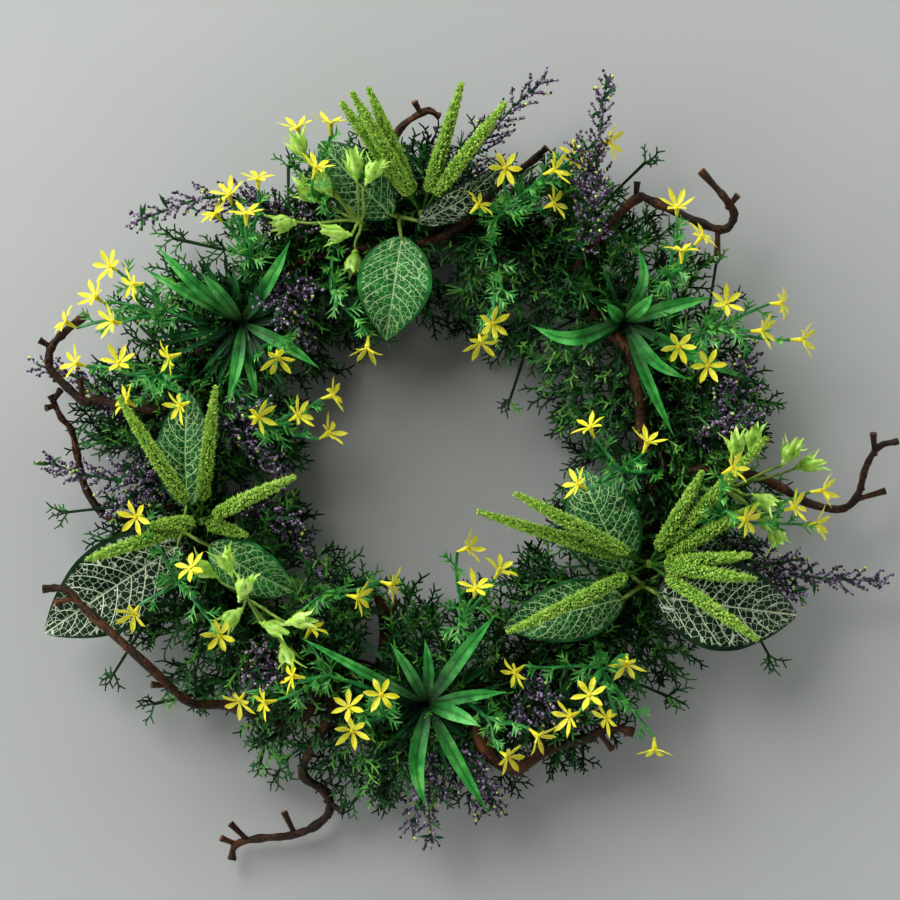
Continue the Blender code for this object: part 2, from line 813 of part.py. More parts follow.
def build_spike_cluster(name, spot, tips):
    pieces = [foot(spot, 4 * MM, 62 * MM)]
    crown = place((*spot, 58))
    for number, (x, y, z, rise) in enumerate(tips):
        variants = (
            spike(crown, place((x, y, z + lift)), (rise + extra) * MM)
            for extra in (0, 8, 16, 26)
            for lift in (0, 4, -4, 8, -8, 12, 16, 20)
        )
        made = first_clear(variants, f"spike {name} {number}")
        if made:
            pieces.append(made)
    fused("spike_cluster_" + name, pieces, "spike")


def strap_leaf(start, tip, width, rise):
    """A long narrow leaf with a fold along its middle that arches out from its tuft."""
    columns = 4
    bm = bmesh.new()
    bmesh.ops.create_grid(bm, x_segments=columns, y_segments=1, size=1)
    route = arch(start, tip, rise, [step / columns for step in range(columns + 1)])
    side = UP.cross(tip - start).normalized()
    for vert in bm.verts:
        column = round((vert.co.x + 1) / 2 * columns)
        t = column / columns
        half = 0.5 * width * (0.35 + 0.65 * math.sin(math.pi * t**0.8)) * (1 if t < 1 else 0)
        vert.co = route[column] + side * vert.co.y * half
    return thickened(bm, UP * BLADE)


def build_strap_tuft(name, spot, leaves):
    pieces = [foot(spot, 4.5 * MM, 50 * MM)]
    crown = place((*spot, 46))
    for number, (x, y, z, width, rise) in enumerate(leaves):
        variants = (
            strap_leaf(crown, place((x, y, z + lift)), width * MM, (rise + lift) * MM)
            for lift in (0, 4, -4, 8, -8, 12, 16, 20, 26, -12)
        )
        made = first_clear(variants, f"strap leaf {name} {number}")
        if made:
            pieces.append(made)
    fused("strap_tuft_" + name, pieces, "strap")


def bends(start, end):
    """Bends for a stem between start and end: none at first, then more and more to get round things."""
    yield []
    for sway in (0, 12, -12, 24, -24):
        for rise in (6, 14, -6, 22, 32, -12):
            yield arch(start, end, rise * MM, (0.5,), sway * MM)


def heading(azimuth, elevation):
    azimuth, elevation = math.radians(azimuth), math.radians(elevation)
    flat = math.cos(elevation)
    return Vector((flat * math.cos(azimuth), flat * math.sin(azimuth), math.sin(elevation)))


def star_flower(points, throat, facing):
    """A six-petalled star at the end of its stem, whose underside runs down into the stem."""
    joint = throat - facing * HEAD_DEPTH
    route = points + [throat - facing * FUNNEL_LENGTH, joint]
    stem = tube(route, [STALK_RADIUS] * (len(route) - 1) + [FUNNEL_RADIUS])
    bm = bmesh.new()
    bm.from_mesh(stem)
    bpy.data.meshes.remove(stem)
    cap = min(bm.faces, key=lambda face: (face.calc_center_median() - joint).length)
    bmesh.ops.delete(bm, geom=[cap], context="FACES_ONLY")
    rim = 2 * PETALS
    cone = bmesh.ops.create_cone(bm, segments=rim, radius1=1, radius2=0, depth=2)
    turn = facing.to_track_quat("Z", "Y")
    for vert in cone["verts"]:
        if vert.co.xy.length < 0.5:
            local = Vector((0, 0, HEAD_RISE))
        else:
            at_tip = round(math.atan2(vert.co.y, vert.co.x) / math.tau * rim) % 2 == 0
            reach, height = (PETAL_REACH, PETAL_CUP) if at_tip else (PETAL_NOTCH, 0)
            local = Vector((vert.co.x * reach, vert.co.y * reach, height))
        vert.co = throat + turn @ local
    bmesh.ops.remove_doubles(bm, verts=bm.verts, dist=0.01 * MM)
    bmesh.ops.bridge_loops(bm, edges=[edge for edge in bm.edges if edge.is_boundary])
    bmesh.ops.triangulate(bm, faces=bm.faces)
    bmesh.ops.recalc_face_normals(bm, faces=bm.faces)
    return mesh_from(bm)


def placed_flower(fork, spot, azimuth, elevation):
    """A star flower on its stem, raised or lowered and its stem bent until it is clear."""
    facing = heading(azimuth, elevation)
    for lift in (0, 4, -4, 8, -8, 12, -12, 16, 20, 26, 32):
        throat = place((spot[0], spot[1], spot[2] + lift))
        neck = throat - facing * FUNNEL_LENGTH
        flower = first_clear(star_flower([fork] + bend, throat, facing) for bend in bends(fork, neck))
        if flower:
            return flower
    return None


def fork_stem(spot, fork):
    """The stem from the vine ring to a fork, and where the fork comes to lie: as near as is clear."""
    root = root_point(spot, STEM_RADIUS)
    above = root + UP * 8 * MM
    for shift in ((0, 0), (0, -8), (0, 8), (-8, 0), (8, 0)):
        for lift in (0, 5, -5, 10, -10, 15, 20):
            moved = fork + place((*shift, lift))
            if not first_clear([knuckle(moved)]):
                continue
            routes = ([root, above] + bend + [moved] for bend in bends(above, moved))
            stem = first_clear(
                tube(route, tapered(STEM_RADIUS, STEM_RADIUS * 0.75, len(route))) for route in routes
            )
            if stem:
                return stem, moved
    return None, fork


def build_star_spray(name, spot, forks):
    pieces = []
    for number, (fork, heads) in enumerate(forks):
        stem, fork = fork_stem(spot, place(fork))
        if stem is None:
            print("no clear place for fork", name, number)
            continue
        pieces += [stem, knuckle(fork, [place(head[:3]) for head in heads])]
        for index, (x, y, z, azimuth, elevation) in enumerate(heads):
            flower = placed_flower(fork, (x, y, z), azimuth, elevation)
            if flower:
                pieces.append(flower)
            else:
                print("no clear place for head", name, number, index)
    fused("star_spray_" + name, pieces, "star")


def pod(points, neck, facing):
    """A bud at the end of its stalk: a swollen pod whose last four faces rise to claw-like sepals."""
    swell = [neck + facing * step * MM for step in (3, 9, 15)]
    route = points + [neck] + swell
    body = tube(route, [STALK_RADIUS] * (len(points) + 1) + [3.6 * MM, 4.6 * MM, 0.8 * MM], 0)
    bm = bmesh.new()
    bm.from_mesh(body)
    bpy.data.meshes.remove(body)
    middle = (swell[1] + swell[2]) / 2
    ends = sorted(bm.faces, key=lambda face: (face.calc_center_median() - middle).length)[:4]
    for claw in bmesh.ops.poke(bm, faces=ends)["verts"]:
        outward = (claw.co - middle).normalized()
        claw.co = neck + facing * 22 * MM + outward * 4.5 * MM
    return mesh_from(bm)


def placed_pod(fork, spot, azimuth):
    """A bud on its stalk, raised or lowered and its stalk bent until it is clear."""
    facing = heading(azimuth, 15)
    for lift in (0, 4, -4, 8, -8, 12, 16, 20, 26):
        neck = place((spot[0], spot[1], spot[2] + lift)) - facing * 8 * MM
        bud = first_clear(pod([fork] + bend, neck, facing) for bend in bends(fork, neck))
        if bud:
            return bud
    return None


def build_bud_spray(name, spot, fork, pods):
    stem, fork = fork_stem(spot, place(fork))
    if stem is None:
        print("no clear place for bud fork", name)
    pieces = [stem, knuckle(fork)]
    for number, (x, y, z, azimuth) in enumerate(pods):
        bud = placed_pod(fork, (x, y, z), azimuth)
        if bud:
            pieces.append(bud)
        else:
            print("no clear place for pod", name, number)
    fused("bud_spray_" + name, pieces, "bud")


def bead_twig(start, end):
    """A side twig with two beads strung on it, one at its end."""
    points = [start.lerp(end, t) for t in (0, 0.55, 0.74, 1)]
    return tube(points, (0.5 * MM, BEAD_RADIUS, 0.8 * MM, BEAD_RADIUS))


def build_lavender_spray(name, spot, routes):
    pieces = []
    root = root_point(spot, STEM_RADIUS)
    for number, route in enumerate(routes):
        spots = [place(point) for point in route]
        for lift in (0, 4, -4, 8, -8, 12, 16, -12, 22):
            points = [root, root + UP * 6 * MM] + [point + UP * lift * MM for point in spots]
            stem = tube(points, tapered(STEM_RADIUS, 1.2 * MM, len(points)))
            if is_clear(stem):
                break
        else:
            print("no clear place for lavender", name, number)
            continue
        pieces.append(stem)
        for twig in range(TWIGS // len(routes)):
            for _ in range(6):
                t = (twig + 1) / (TWIGS // len(routes)) * (len(points) - 2) * 0.98
                step = min(int(t), len(points) - 3) + 1
                base = points[step].lerp(points[step + 1], t - step + 1)
                along = (points[step + 1] - points[step]).normalized()
                angle = math.tau * (twig * 0.38 + 0.12 * draw.random())
                side = along.cross(UP).normalized()
                outward = side * math.cos(angle) + side.cross(along) * abs(math.sin(angle))
                end = base + (along * 0.5 + outward) * draw.uniform(12, 18) * MM
                made = bead_twig(base, end)
                if is_clear(made):
                    pieces.append(made)
                    break
    fused("lavender_spray_" + name, pieces, "lavender")


def frond(crown, tip, whorls):
    """A slim rib whose faces rise to stiff needles, three to a whorl, where they are clear."""
    stops = [0]
    span = WHORL_LENGTH / (tip - crown).length
    for number in range(whorls):
        last = 0.32 + 0.68 * number / (whorls - 1)
        stops += [last - span, last]
    widths = tapered(RIB_RADII[0], RIB_RADII[1], len(stops))
    for rise in (6, 14, -4, 22, 30):
        for sway in (0, 14, -14, 26, -26):
            points = arch(crown, tip, rise * MM, stops, sway * MM)
            rib = tube(points, widths)
            if is_clear(rib):
                return [with_needles(rib, points)]
            bpy.data.meshes.remove(rib)
    return []


def with_needles(rib, points):
    """The rib with its end and the faces of its short stretches drawn out to needles."""
    bm = bmesh.new()
    bm.from_mesh(rib)
    bpy.data.meshes.remove(rib)
    for first, second in zip(points[1::2], points[2::2]):
        middle = (first + second) / 2
        along = (second - first).normalized()
        faces = sorted(bm.faces, key=lambda face: (face.calc_center_median() - middle).length)[:3]
        if second is points[-1]:
            faces.append(min(bm.faces, key=lambda face: (face.calc_center_median() - second).length))
        for face in faces:
            outward = (face.calc_center_median() - middle).normalized()
            lean = (along * draw.uniform(0.5, 1.1) + outward).normalized()
            end = middle + lean * draw.uniform(12, 20) * MM
            guard = needle(middle, end, WHORL_LENGTH * 0.7)
            if is_clear(guard):
                bmesh.ops.poke(bm, faces=[face])["verts"][0].co = end
            bpy.data.meshes.remove(guard)
    return mesh_from(bm)


def build_fern(sector):
    """The greens of one tenth of the ring, all from one short crown that sits on the vine."""
    width = math.tau / FERN_SECTORS
    middle = width * (sector + 0.5)
    for shift in (0, 0.1, -0.1, 0.2, -0.2, 0.28, -0.28):
        for reach in (182, 190, 174, 196, 170):
            spot = (reach * math.cos(middle + shift), reach * math.sin(middle + shift))
            base = foot(spot, 2.4 * MM, 42 * MM)
            if is_clear(base):
                break
            base = None
        if base:
            break
    else:
        print("no clear root for fern", sector)
    pieces = [base]
    crown = place((*spot, 40))
    tips = []
    for number in range(FRONDS_OUT):
        angle = width * (sector + (number + 0.5) / FRONDS_OUT) + draw.uniform(-0.06, 0.06)
        reach = FERN_OUT + draw.uniform(-14, 14)
        tips.append((reach * math.cos(angle), reach * math.sin(angle), draw.uniform(20, 36)))
    tips.append((FERN_IN * math.cos(middle), FERN_IN * math.sin(middle), draw.uniform(24, 40)))
    for long_tip in LONG_FRONDS:
        if int((math.atan2(long_tip[1], long_tip[0]) % math.tau) / width) == sector:
            tips.append(long_tip)
    for tip in tips:
        for turn in (0, 0.12, -0.12, 0.24, -0.24):
            made = frond(crown, Matrix.Rotation(turn, 3, "Z") @ place(tip), FROND_WHORLS)
            if made:
                break
        else:
            print("no clear way for frond", sector, [round(number) for number in tip])
        pieces += made
    fused(f"fern_{sector + 1}", pieces, "fern")


def stand_on_origin():
    """Moves the wreath so that the middle of its box stands on the origin."""
    corners = [vert.co for part in wreath.objects for vert in part.data.vertices]
    middle_x = (min(c.x for c in corners) + max(c.x for c in corners)) / 2
    middle_y = (min(c.y for c in corners) + max(c.y for c in corners)) / 2
    lowest = min(c.z for c in corners)
    for part in wreath.objects:
        part.data.transform(Matrix.Translation((-middle_x, -middle_y, -lowest)))


clear_scene()
wreath = new_collection("Mixed flower wreath")
guides = new_collection("Guides")
guides.hide_render = True
stem_profile = triangle_profile()
ring_tree = build_vine_ring()
for name, (route, radii, nubs) in BRANCHES.items():
    build_branch(name, route, radii, nubs)
for name, (spot, leaves) in LEAF_PLANTS.items():
    build_leaf_plant(name, spot, leaves)
for name, (spot, tips) in SPIKE_CLUSTERS.items():
    build_spike_cluster(name, spot, tips)
for name, (spot, leaves) in STRAP_TUFTS.items():
    build_strap_tuft(name, spot, leaves)
for name, (spot, fork, pods) in BUD_SPRAYS.items():
    build_bud_spray(name, spot, fork, pods)
for name, (spot, forks) in STAR_SPRAYS.items():
    build_star_spray(name, spot, forks)
for name, (spot, routes) in LAVENDER_SPRAYS.items():
    build_lavender_spray(name, spot, routes)
for sector in range(FERN_SECTORS):
    build_fern(sector)
stand_on_origin()
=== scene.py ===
import math
import random

import bpy
import numpy as np
from mathutils import Matrix, Vector
from mathutils.bvhtree import BVHTree
from mathutils.kdtree import KDTree


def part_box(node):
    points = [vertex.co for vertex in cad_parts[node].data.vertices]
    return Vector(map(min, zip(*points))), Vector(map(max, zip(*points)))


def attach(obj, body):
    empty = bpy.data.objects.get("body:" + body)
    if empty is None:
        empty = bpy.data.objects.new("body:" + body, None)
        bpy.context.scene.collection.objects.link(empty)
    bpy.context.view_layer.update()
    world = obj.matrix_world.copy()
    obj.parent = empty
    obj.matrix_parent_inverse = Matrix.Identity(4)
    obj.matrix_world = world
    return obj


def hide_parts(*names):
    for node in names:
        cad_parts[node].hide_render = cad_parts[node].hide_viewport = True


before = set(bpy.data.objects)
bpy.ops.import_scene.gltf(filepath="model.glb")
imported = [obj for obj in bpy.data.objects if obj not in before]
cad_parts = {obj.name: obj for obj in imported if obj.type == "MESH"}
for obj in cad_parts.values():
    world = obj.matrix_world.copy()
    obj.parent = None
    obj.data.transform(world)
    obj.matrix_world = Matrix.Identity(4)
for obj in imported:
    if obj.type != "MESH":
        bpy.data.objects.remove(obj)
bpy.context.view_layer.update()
mm = 0.001
up = Vector((0, 0, 1))
draw = random.Random(58)
sharpAngle = 58  # degrees between two faces from which their edge stays a crease
stemTurn = 137.5  # degrees round a stem from one twig or leaf to the next
vineLow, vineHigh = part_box("vine_ring")
ringCentre = Vector(((vineLow.x + vineHigh.x) / 2, (vineLow.y + vineHigh.y) / 2, 0))
print("frame loaded, ring centre", ringCentre)


def at(spot):  # a place in mm from the ring's centre, as it is in the layouts below
    return ringCentre + Vector(spot) * mm


def linear(hexColour):
    parts = [int(hexColour[i:i + 2], 16) / 255 for i in (1, 3, 5)]
    return (*(c / 12.92 if c <= 0.04045 else ((c + 0.055) / 1.055) ** 2.4 for c in parts), 1)


def heading(azimuth, elevation):
    azimuth, elevation = math.radians(azimuth), math.radians(elevation)
    flat = math.cos(elevation)
    return Vector((flat * math.cos(azimuth), flat * math.sin(azimuth), math.sin(elevation)))


def arch(start, end, rise, stops, sway=0.0):  # rise and sway in mm
    side = (end - start).cross(up)
    side = side.normalized() * (sway * mm) if side.length > 0 else Vector()
    control = start.lerp(end, 0.4) + up * (rise * mm) + side
    return [start * (1 - t) ** 2 + control * 2 * t * (1 - t) + end * t * t for t in stops]


def smoothRoute(points, steps=4):  # a curve through the points, with this many steps to a span
    padded = [points[0] * 2 - points[1], *points, points[-1] * 2 - points[-2]]
    route = []
    for a, b, c, d in zip(padded, padded[1:], padded[2:], padded[3:]):
        for step in range(steps):
            t = step / steps
            route.append(0.5 * (2 * b + (c - a) * t + (2 * a - 5 * b + 4 * c - d) * t * t
                                + (3 * b - 3 * c + d - a) * t ** 3))
    return route + [points[-1].copy()]


def anyWay(low, high):  # towards any side, between two angles above level
    return heading(draw.uniform(0, 360), draw.uniform(low, high))


def evenly(first, last, count):
    return [first + (last - first) * i / (count - 1) for i in range(count)]


def asArray(points):
    return np.array([tuple(p) for p in points])


# meshes: a bunch gathers points and faces, and becomes one piece

def newBunch():
    return {"points": [], "faces": [], "looks": [], "maps": [], "count": 0, "strokes": {}}


def addTo(bunch, points, faces, look=0, maps=None):  # look: one for all, or one for each group of faces
    points = np.asarray(points, float).reshape(-1, 3)
    bunch["points"].append(points)
    bunch["maps"].append(np.zeros((len(points), 4)) if maps is None else maps.reshape(-1, 4))
    for group, groupLook in zip(faces, look if isinstance(look, tuple) else [look] * len(faces)):
        bunch["faces"].append(np.asarray(group) + bunch["count"])
        bunch["looks"].append(np.full(len(group), groupLook))
    bunch["count"] += len(points)


def loft(rings):  # skin over rings of points, shaped (copies, rings, sides, 3), with closed ends
    copies, stops, sides, _ = rings.shape
    index = np.arange(copies * stops * sides).reshape(copies, stops, sides)
    onward = np.roll(index, -1, axis=2)
    skin = np.stack([index[:, :-1], index[:, 1:], onward[:, 1:], onward[:, :-1]], -1).reshape(-1, 4)
    return rings.reshape(-1, 3), [skin, index[:, 0], index[:, -1, ::-1]]


def unit(vectors):
    return vectors / (np.linalg.norm(vectors, axis=-1, keepdims=True) + 1e-12)


def framesAlong(paths):  # two directions across each path at each of its points
    along = unit(np.gradient(paths, axis=1))
    whole = unit(paths[:, -1] - paths[:, 0])
    lead = np.where(np.abs(whole[:, 2:]) < 0.85, [[0.0, 0, 1]], [[1.0, 0.2, 0]])
    side = unit(np.cross(along, lead[:, None]))
    return along, side, np.cross(side, along)


def sweep(paths, radii, sides, ridge=0.0, lobes=3, twist=0.0, wide=1.0):  # paths in metres, radii in mm
    paths, radii = np.asarray(paths, float), np.asarray(radii, float) * mm
    _, side, other = framesAlong(paths)
    angles = np.arange(sides) * math.tau / sides
    turned = angles[None, :] + twist * np.arange(paths.shape[1])[:, None]
    shape = 1 + ridge * np.cos(lobes * angles)[None, :]
    across = side[:, :, None] * np.cos(turned)[None, :, :, None] * wide
    across = across + other[:, :, None] * np.sin(turned)[None, :, :, None] / wide
    return loft(paths[:, :, None] + across * (radii[:, :, None] * shape[None])[..., None])


def addTube(bunch, route, first, last, sides, look=0, ridge=0.0):  # first and last radius in mm
    addTo(bunch, *sweep([route], [evenly(first, last, len(route))], sides, ridge), look)


def addTurned(bunch, foot, facing, shape, sides, look):  # shape lists distance and radius in mm
    path = [foot + facing * d * mm for d, _ in shape]
    addTo(bunch, *sweep([path], [[r for _, r in shape]], sides), look)


def addSheet(bunch, upper, lower, look=0, maps=None):  # a closed sheet between two rows of points
    if maps is not None:
        maps = np.concatenate([maps, maps[:, -2:0:-1]], 1)
    addTo(bunch, *loft(np.concatenate([upper, lower[:, -2:0:-1]], 1)[None]), look, maps)


def addStroke(bunch, points, radii, look=0, sides=3):  # kept until closeStrokes sweeps them all at once
    bunch["strokes"].setdefault((len(points), sides, look), []).append((points, radii))


def closeStrokes(bunch):
    for (_, sides, look), strokes in sorted(bunch["strokes"].items()):
        paths = np.array([asArray(points) for points, _ in strokes])
        paths[..., 2] = np.maximum(paths[..., 2], 1.2 * mm)
        wide = 1.3 if sides == 3 else 1.0
        addTo(bunch, *sweep(paths, [radii for _, radii in strokes], sides, wide=wide), look)


triangles = {}


def makePiece(name, bunch, looks, nodes):
    closeStrokes(bunch)
    mesh = bpy.data.meshes.new(name)
    points = np.concatenate(bunch["points"])
    points[:, 2] = np.maximum(points[:, 2], 0.1 * mm)
    loops = np.concatenate([group.ravel() for group in bunch["faces"]])
    sizes = np.concatenate([np.full(len(g), g.shape[1]) for g in bunch["faces"]])
    mesh.vertices.add(len(points))
    mesh.vertices.foreach_set("co", points.astype(np.float32).ravel())
    mesh.loops.add(len(loops))
    mesh.loops.foreach_set("vertex_index", loops.astype(np.int32))
    mesh.polygons.add(len(sizes))
    mesh.polygons.foreach_set("loop_start", (np.cumsum(sizes) - sizes).astype(np.int32))
    mesh.polygons.foreach_set("material_index", np.concatenate(bunch["looks"]).astype(np.int32))
    mesh.polygons.foreach_set("use_smooth", np.ones(len(sizes), bool))
    maps = np.concatenate(bunch["maps"])
    if maps.any():
        for mapName, columns in (("bladeMap", maps[:, :2]), ("sizeMap", maps[:, 2:])):
            mesh.uv_layers.new(name=mapName).data.foreach_set("uv", columns[loops].ravel())
    mesh.update(calc_edges=True)
    mesh.set_sharp_from_angle(angle=math.radians(sharpAngle))
    for look in looks:
        mesh.materials.append(look)
    piece = bpy.data.objects.new(name, mesh)
    bpy.context.scene.collection.objects.link(piece)
    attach(piece, "root")
    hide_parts(*nodes)
    triangles[name] = int((sizes - 2).sum())


def plants(layout, kind):  # each plant of a layout, with its node and an empty bunch
    for name, plan in layout.items():
        yield name, kind + name, newBunch(), plan


# finding where each stem, bloom and leaf of the frame came to lie

solids = {}


def solid(node):  # the node's corners and its surface, to measure from
    if node not in solids:
        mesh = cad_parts[node].data
        corners = KDTree(len(mesh.vertices))
        for i, vert in enumerate(mesh.vertices):
            corners.insert(vert.co, i)
        corners.balance()
        faces = [face.vertices[:] for face in mesh.polygons]
        surface = BVHTree.FromPolygons([vert.co for vert in mesh.vertices], faces)
        solids[node] = corners, surface
    return solids[node]


def offCorner(node, point, radius=0.0):  # radius in mm: how far the corners lie from the middle of the form
    return abs(solid(node)[0].find(point)[2] - radius * mm)


def offSurface(node, point):
    return solid(node)[1].find_nearest(point)[3]


def bends(start, end):
    yield []
    for sway in (0, 12, -12, 24, -24):
        for rise in (6, 14, -6, 22, 32, -12):
            yield arch(start, end, rise, (0.5,), sway)


def stemRoute(node, start, end):  # the way that the frame's stem takes round its neighbours
    def off(bend):
        route = [start, *bend, end]
        return sum(offSurface(node, a.lerp(b, t)) for a, b in zip(route, route[1:]) for t in (0.3, 0.6, 1))
    return min(bends(start, end), key=off)


def onVine(spot, sunk=2.0):
    hit = solid("vine_ring")[1].ray_cast(at((*spot, 100)), -up)[0]
    return (hit or at((*spot, 30))) - up * sunk * mm


def hubStem(bunch, spot, height, past, first, last, look):  # from the vine up to where the leaves meet
    root, crown = onVine(spot, 3), at((*spot, height))
    addTube(bunch, smoothRoute([root, root.lerp(crown, 0.5), crown + up * past * mm]), first, last, 9, look)
    return crown


# materials: nodes that several of them share come first

def link(material, source, output, node, socket):
    material.node_tree.links.new(source.outputs[output], node.inputs[socket])


def setInputs(node, inputs):
    for name, value in inputs.items():
        node.inputs[name].default_value = value


def addNode(material, kind, inputs=None, links=None, **settings):
    node = material.node_tree.nodes.new(kind)
    for name, value in settings.items():
        setattr(node, name, value)
    setInputs(node, inputs or {})
    for name, source in (links or {}).items():
        link(material, *source, node, name)
    return node


def newMaterial(name):
    material = bpy.data.materials.new(name)
    material.use_nodes = True
    return material, material.node_tree.nodes["Principled BSDF"]


def spread(material, source, low, high, first=0.0, last=1.0):  # first to last becomes low to high
    ends = {"From Min": first, "From Max": last, "To Min": low, "To Max": high}
    return addNode(material, "ShaderNodeMapRange", ends, {"Value": source}), "Result"


def ramp(material, source, colours, positions):
    node = addNode(material, "ShaderNodeValToRGB", links={"Fac": source})
    elements = node.color_ramp.elements
    while len(elements) < len(colours):
        elements.new(0.5)
    for element, position, colour in zip(elements, positions, colours):
        element.position, element.color = position, linear(colour)
    return node, "Color"


def noise(material, size, source, detail, **inputs):  # size in mm
    return addNode(material, "ShaderNodeTexNoise", {"Scale": 1 / (size * mm), "Detail": detail, **inputs},
                   {"Vector": source}), "Fac"


def maths(material, operation, *values):  # each value is a number, or a node with its output
    node = addNode(material, "ShaderNodeMath", operation=operation)
    for socket, value in enumerate(values):
        if isinstance(value, tuple):
            link(material, *value, node, socket)
        else:
            node.inputs[socket].default_value = value
    return node, "Value"


def readMap(material, name):  # a map that comes with the mesh, whole and in parts
    whole = addNode(material, "ShaderNodeUVMap", uv_map=name)
    return (whole, "UV"), addNode(material, "ShaderNodeSeparateXYZ", links={"Vector": (whole, "UV")})


def addSkin(material, shader, height, relief, depth, worn, roughness, gloss):
    # height makes a bump depth mm deep, and worn takes the roughness from one value to the other
    bump = addNode(material, "ShaderNodeBump", {"Strength": relief, "Distance": depth * mm},
                   {"Height": height})
    link(material, bump, "Normal", shader, "Normal")
    link(material, *spread(material, worn, *roughness), shader, "Roughness")
    setInputs(shader, {"Specular IOR Level": gloss})


def paintedCreaseShade(material, colour):  # painted shade: darker at the foot of a blade, where the other blades shade it, and along its crease
    _, parts = readMap(material, "bladeMap")
    foot = spread(material, (parts, "X"), 0.03, 1.0, last=0.66)
    crease = spread(material, maths(material, "ABSOLUTE", (parts, "Y")), 0.5, 1.0, last=0.3)
    shade = maths(material, "MULTIPLY", foot, crease)
    return addNode(material, "ShaderNodeMix", {0: 1.0}, {6: colour, 7: shade},
                   data_type="RGBA", blend_type="MULTIPLY"), 2


def mouldedPlastic(name, colours, patch, grain, roughness, relief, gloss, glow=0.0, paintedShade=False):
    # patch and grain are in mm: how wide the colour patches are, and the grain of the mould's skin
    material, shader = newMaterial(name)
    place = addNode(material, "ShaderNodeTexCoord"), "Object"
    patches = noise(material, patch, place, 4.0, Roughness=0.65)
    colour = ramp(material, patches, colours, evenly(0.32, 0.68, len(colours)))
    # with paintedShade, the colour is painted darker at a blade's foot and along its crease, as shade
    link(material, *(paintedCreaseShade(material, colour) if paintedShade else colour), shader, "Base Color")
    skin = noise(material, grain, place, 3.0)
    addSkin(material, shader, skin, relief, grain * 0.5, skin, (roughness - 0.08, roughness + 0.12), gloss)
    setInputs(shader, {"IOR": 1.49})
    if glow:
        setInputs(shader, {"Subsurface Weight": glow, "Subsurface Radius": (0.002, 0.002, 0.001),
                           "Subsurface Scale": 1.0})
    return material


# after the colours: patch, grain, roughness, relief and gloss
# injection-moulded polyethylene greens: waxy, with a soft gloss along each tine; three tones of one green,
# the dark one also painted shade deep in the wreath and the bright one painted light on its top
fernDarkShaded = mouldedPlastic("mouldedPolyethyleneFernDark", ["#0A1D0C", "#122E13", "#1E4821"],
                          9, 1.2, 0.5, 0.25, 0.25)
fernMid = mouldedPlastic("mouldedPolyethyleneFernMid", ["#193E1B", "#28622A", "#42803D"],
                         8, 1.2, 0.48, 0.25, 0.28)
fernBrightLit = mouldedPlastic("mouldedPolyethyleneFernBright", ["#306A2B", "#54943A", "#8EB652"],
                            7, 1.2, 0.46, 0.25, 0.3)
# the star flowers' stems and dill leaflets are moulded in a fresher green that catches the light
starStem = mouldedPlastic("mouldedPolyethyleneStem", ["#155C2A", "#2A8240", "#55A258"],
                          8, 1.5, 0.34, 0.2, 0.4)
dillGreen = mouldedPlastic("mouldedPolyethyleneDill", ["#1F702C", "#469A44", "#96C866"],
                           6, 1.2, 0.38, 0.2, 0.4)
# thin moulded petals: satin and a little see-through, so that the yellow stays bright in its own shade
petalYellow = mouldedPlastic("mouldedPolyethylenePetal", ["#C8BE20", "#D9D030", "#E6E24C"],
                             5, 1.6, 0.46, 0.3, 0.35, glow=0.35)
throatYellow = mouldedPlastic("mouldedPolyethyleneThroat", ["#C4A81A", "#D6C224", "#E2D63A"],
                              2.5, 0.8, 0.46, 0.4, 0.35, glow=0.3)
# foam spikes rolled in dyed grains: matt lime tips over a bed painted darker green, as painted shade between
# the grains
spikeGrain = mouldedPlastic("flockedFoamSpikeGrain", ["#568030", "#8CB244", "#CEDE7C"],
                            2.4, 0.7, 0.6, 0.4, 0.3)
spikeShadedBed = mouldedPlastic("flockedFoamSpikeBed", ["#1E3E12", "#2F5A1E", "#467628"], 3, 0.8, 0.7, 0.6, 0.2)
# pale pods in soft vinyl: milky, with a wet-looking highlight
podVinyl = mouldedPlastic("softVinylPod", ["#7FB238", "#A4CE54", "#CFE68E"],
                          7, 2.0, 0.34, 0.15, 0.45, glow=0.25)
podStem = mouldedPlastic("softVinylPodStem", ["#5A6E2A", "#76903C", "#93AC4E"], 6, 1.5, 0.42, 0.3, 0.4)
# glazed seed beads, dyed violet, lilac and a few lime: small, hard and bright
beadViolet = mouldedPlastic("glazedBeadViolet", ["#221A28", "#3B2F44", "#5E4F6C"], 4, 0.9, 0.22, 0.1, 0.6)
beadLilac = mouldedPlastic("glazedBeadLilac", ["#62506F", "#8C7997", "#C0B2C8"], 4, 0.9, 0.22, 0.1, 0.6)
beadLime = mouldedPlastic("glazedBeadLime", ["#A8C040", "#CFE070", "#E6F0A0"], 4, 0.9, 0.26, 0.1, 0.5)
lavenderTwig = mouldedPlastic("mouldedPolyethyleneTwig", ["#103A1A", "#1A5628", "#3A7438"],
                              6, 1.0, 0.46, 0.2, 0.3)
# calendered strap leaves: semi-gloss, with painted shade at the foot and along the crease
strapGreen = mouldedPlastic("calenderedPvcStrap", ["#287030", "#44A04A", "#78C26A"],
                            16, 2.2, 0.42, 0.15, 0.24, paintedShade=True)
strapDark = mouldedPlastic("calenderedPvcStrapDark", ["#0C3416", "#175024", "#286E3A"],
                           14, 2.0, 0.46, 0.15, 0.24, paintedShade=True)


def bark(name, colours, roughness, streak):
    # streak is the mm between the ridges of the bark, drawn as coarse as shows at this size
    material, shader = newMaterial(name)
    place = addNode(material, "ShaderNodeTexCoord"), "Object"
    ridges = noise(material, streak, place, 6.0, Roughness=0.7, Distortion=0.6)
    patches = noise(material, 18, place, 2.0)
    both = maths(material, "ADD", maths(material, "MULTIPLY", ridges, 0.5),
                 maths(material, "MULTIPLY", patches, 0.5))
    colour = ramp(material, both, colours, evenly(0.36, 0.64, len(colours)))
    link(material, *colour, shader, "Base Color")
    addSkin(material, shader, ridges, 0.9, 1.3, ridges, (roughness - 0.12, roughness + 0.15), 0.28)
    return material


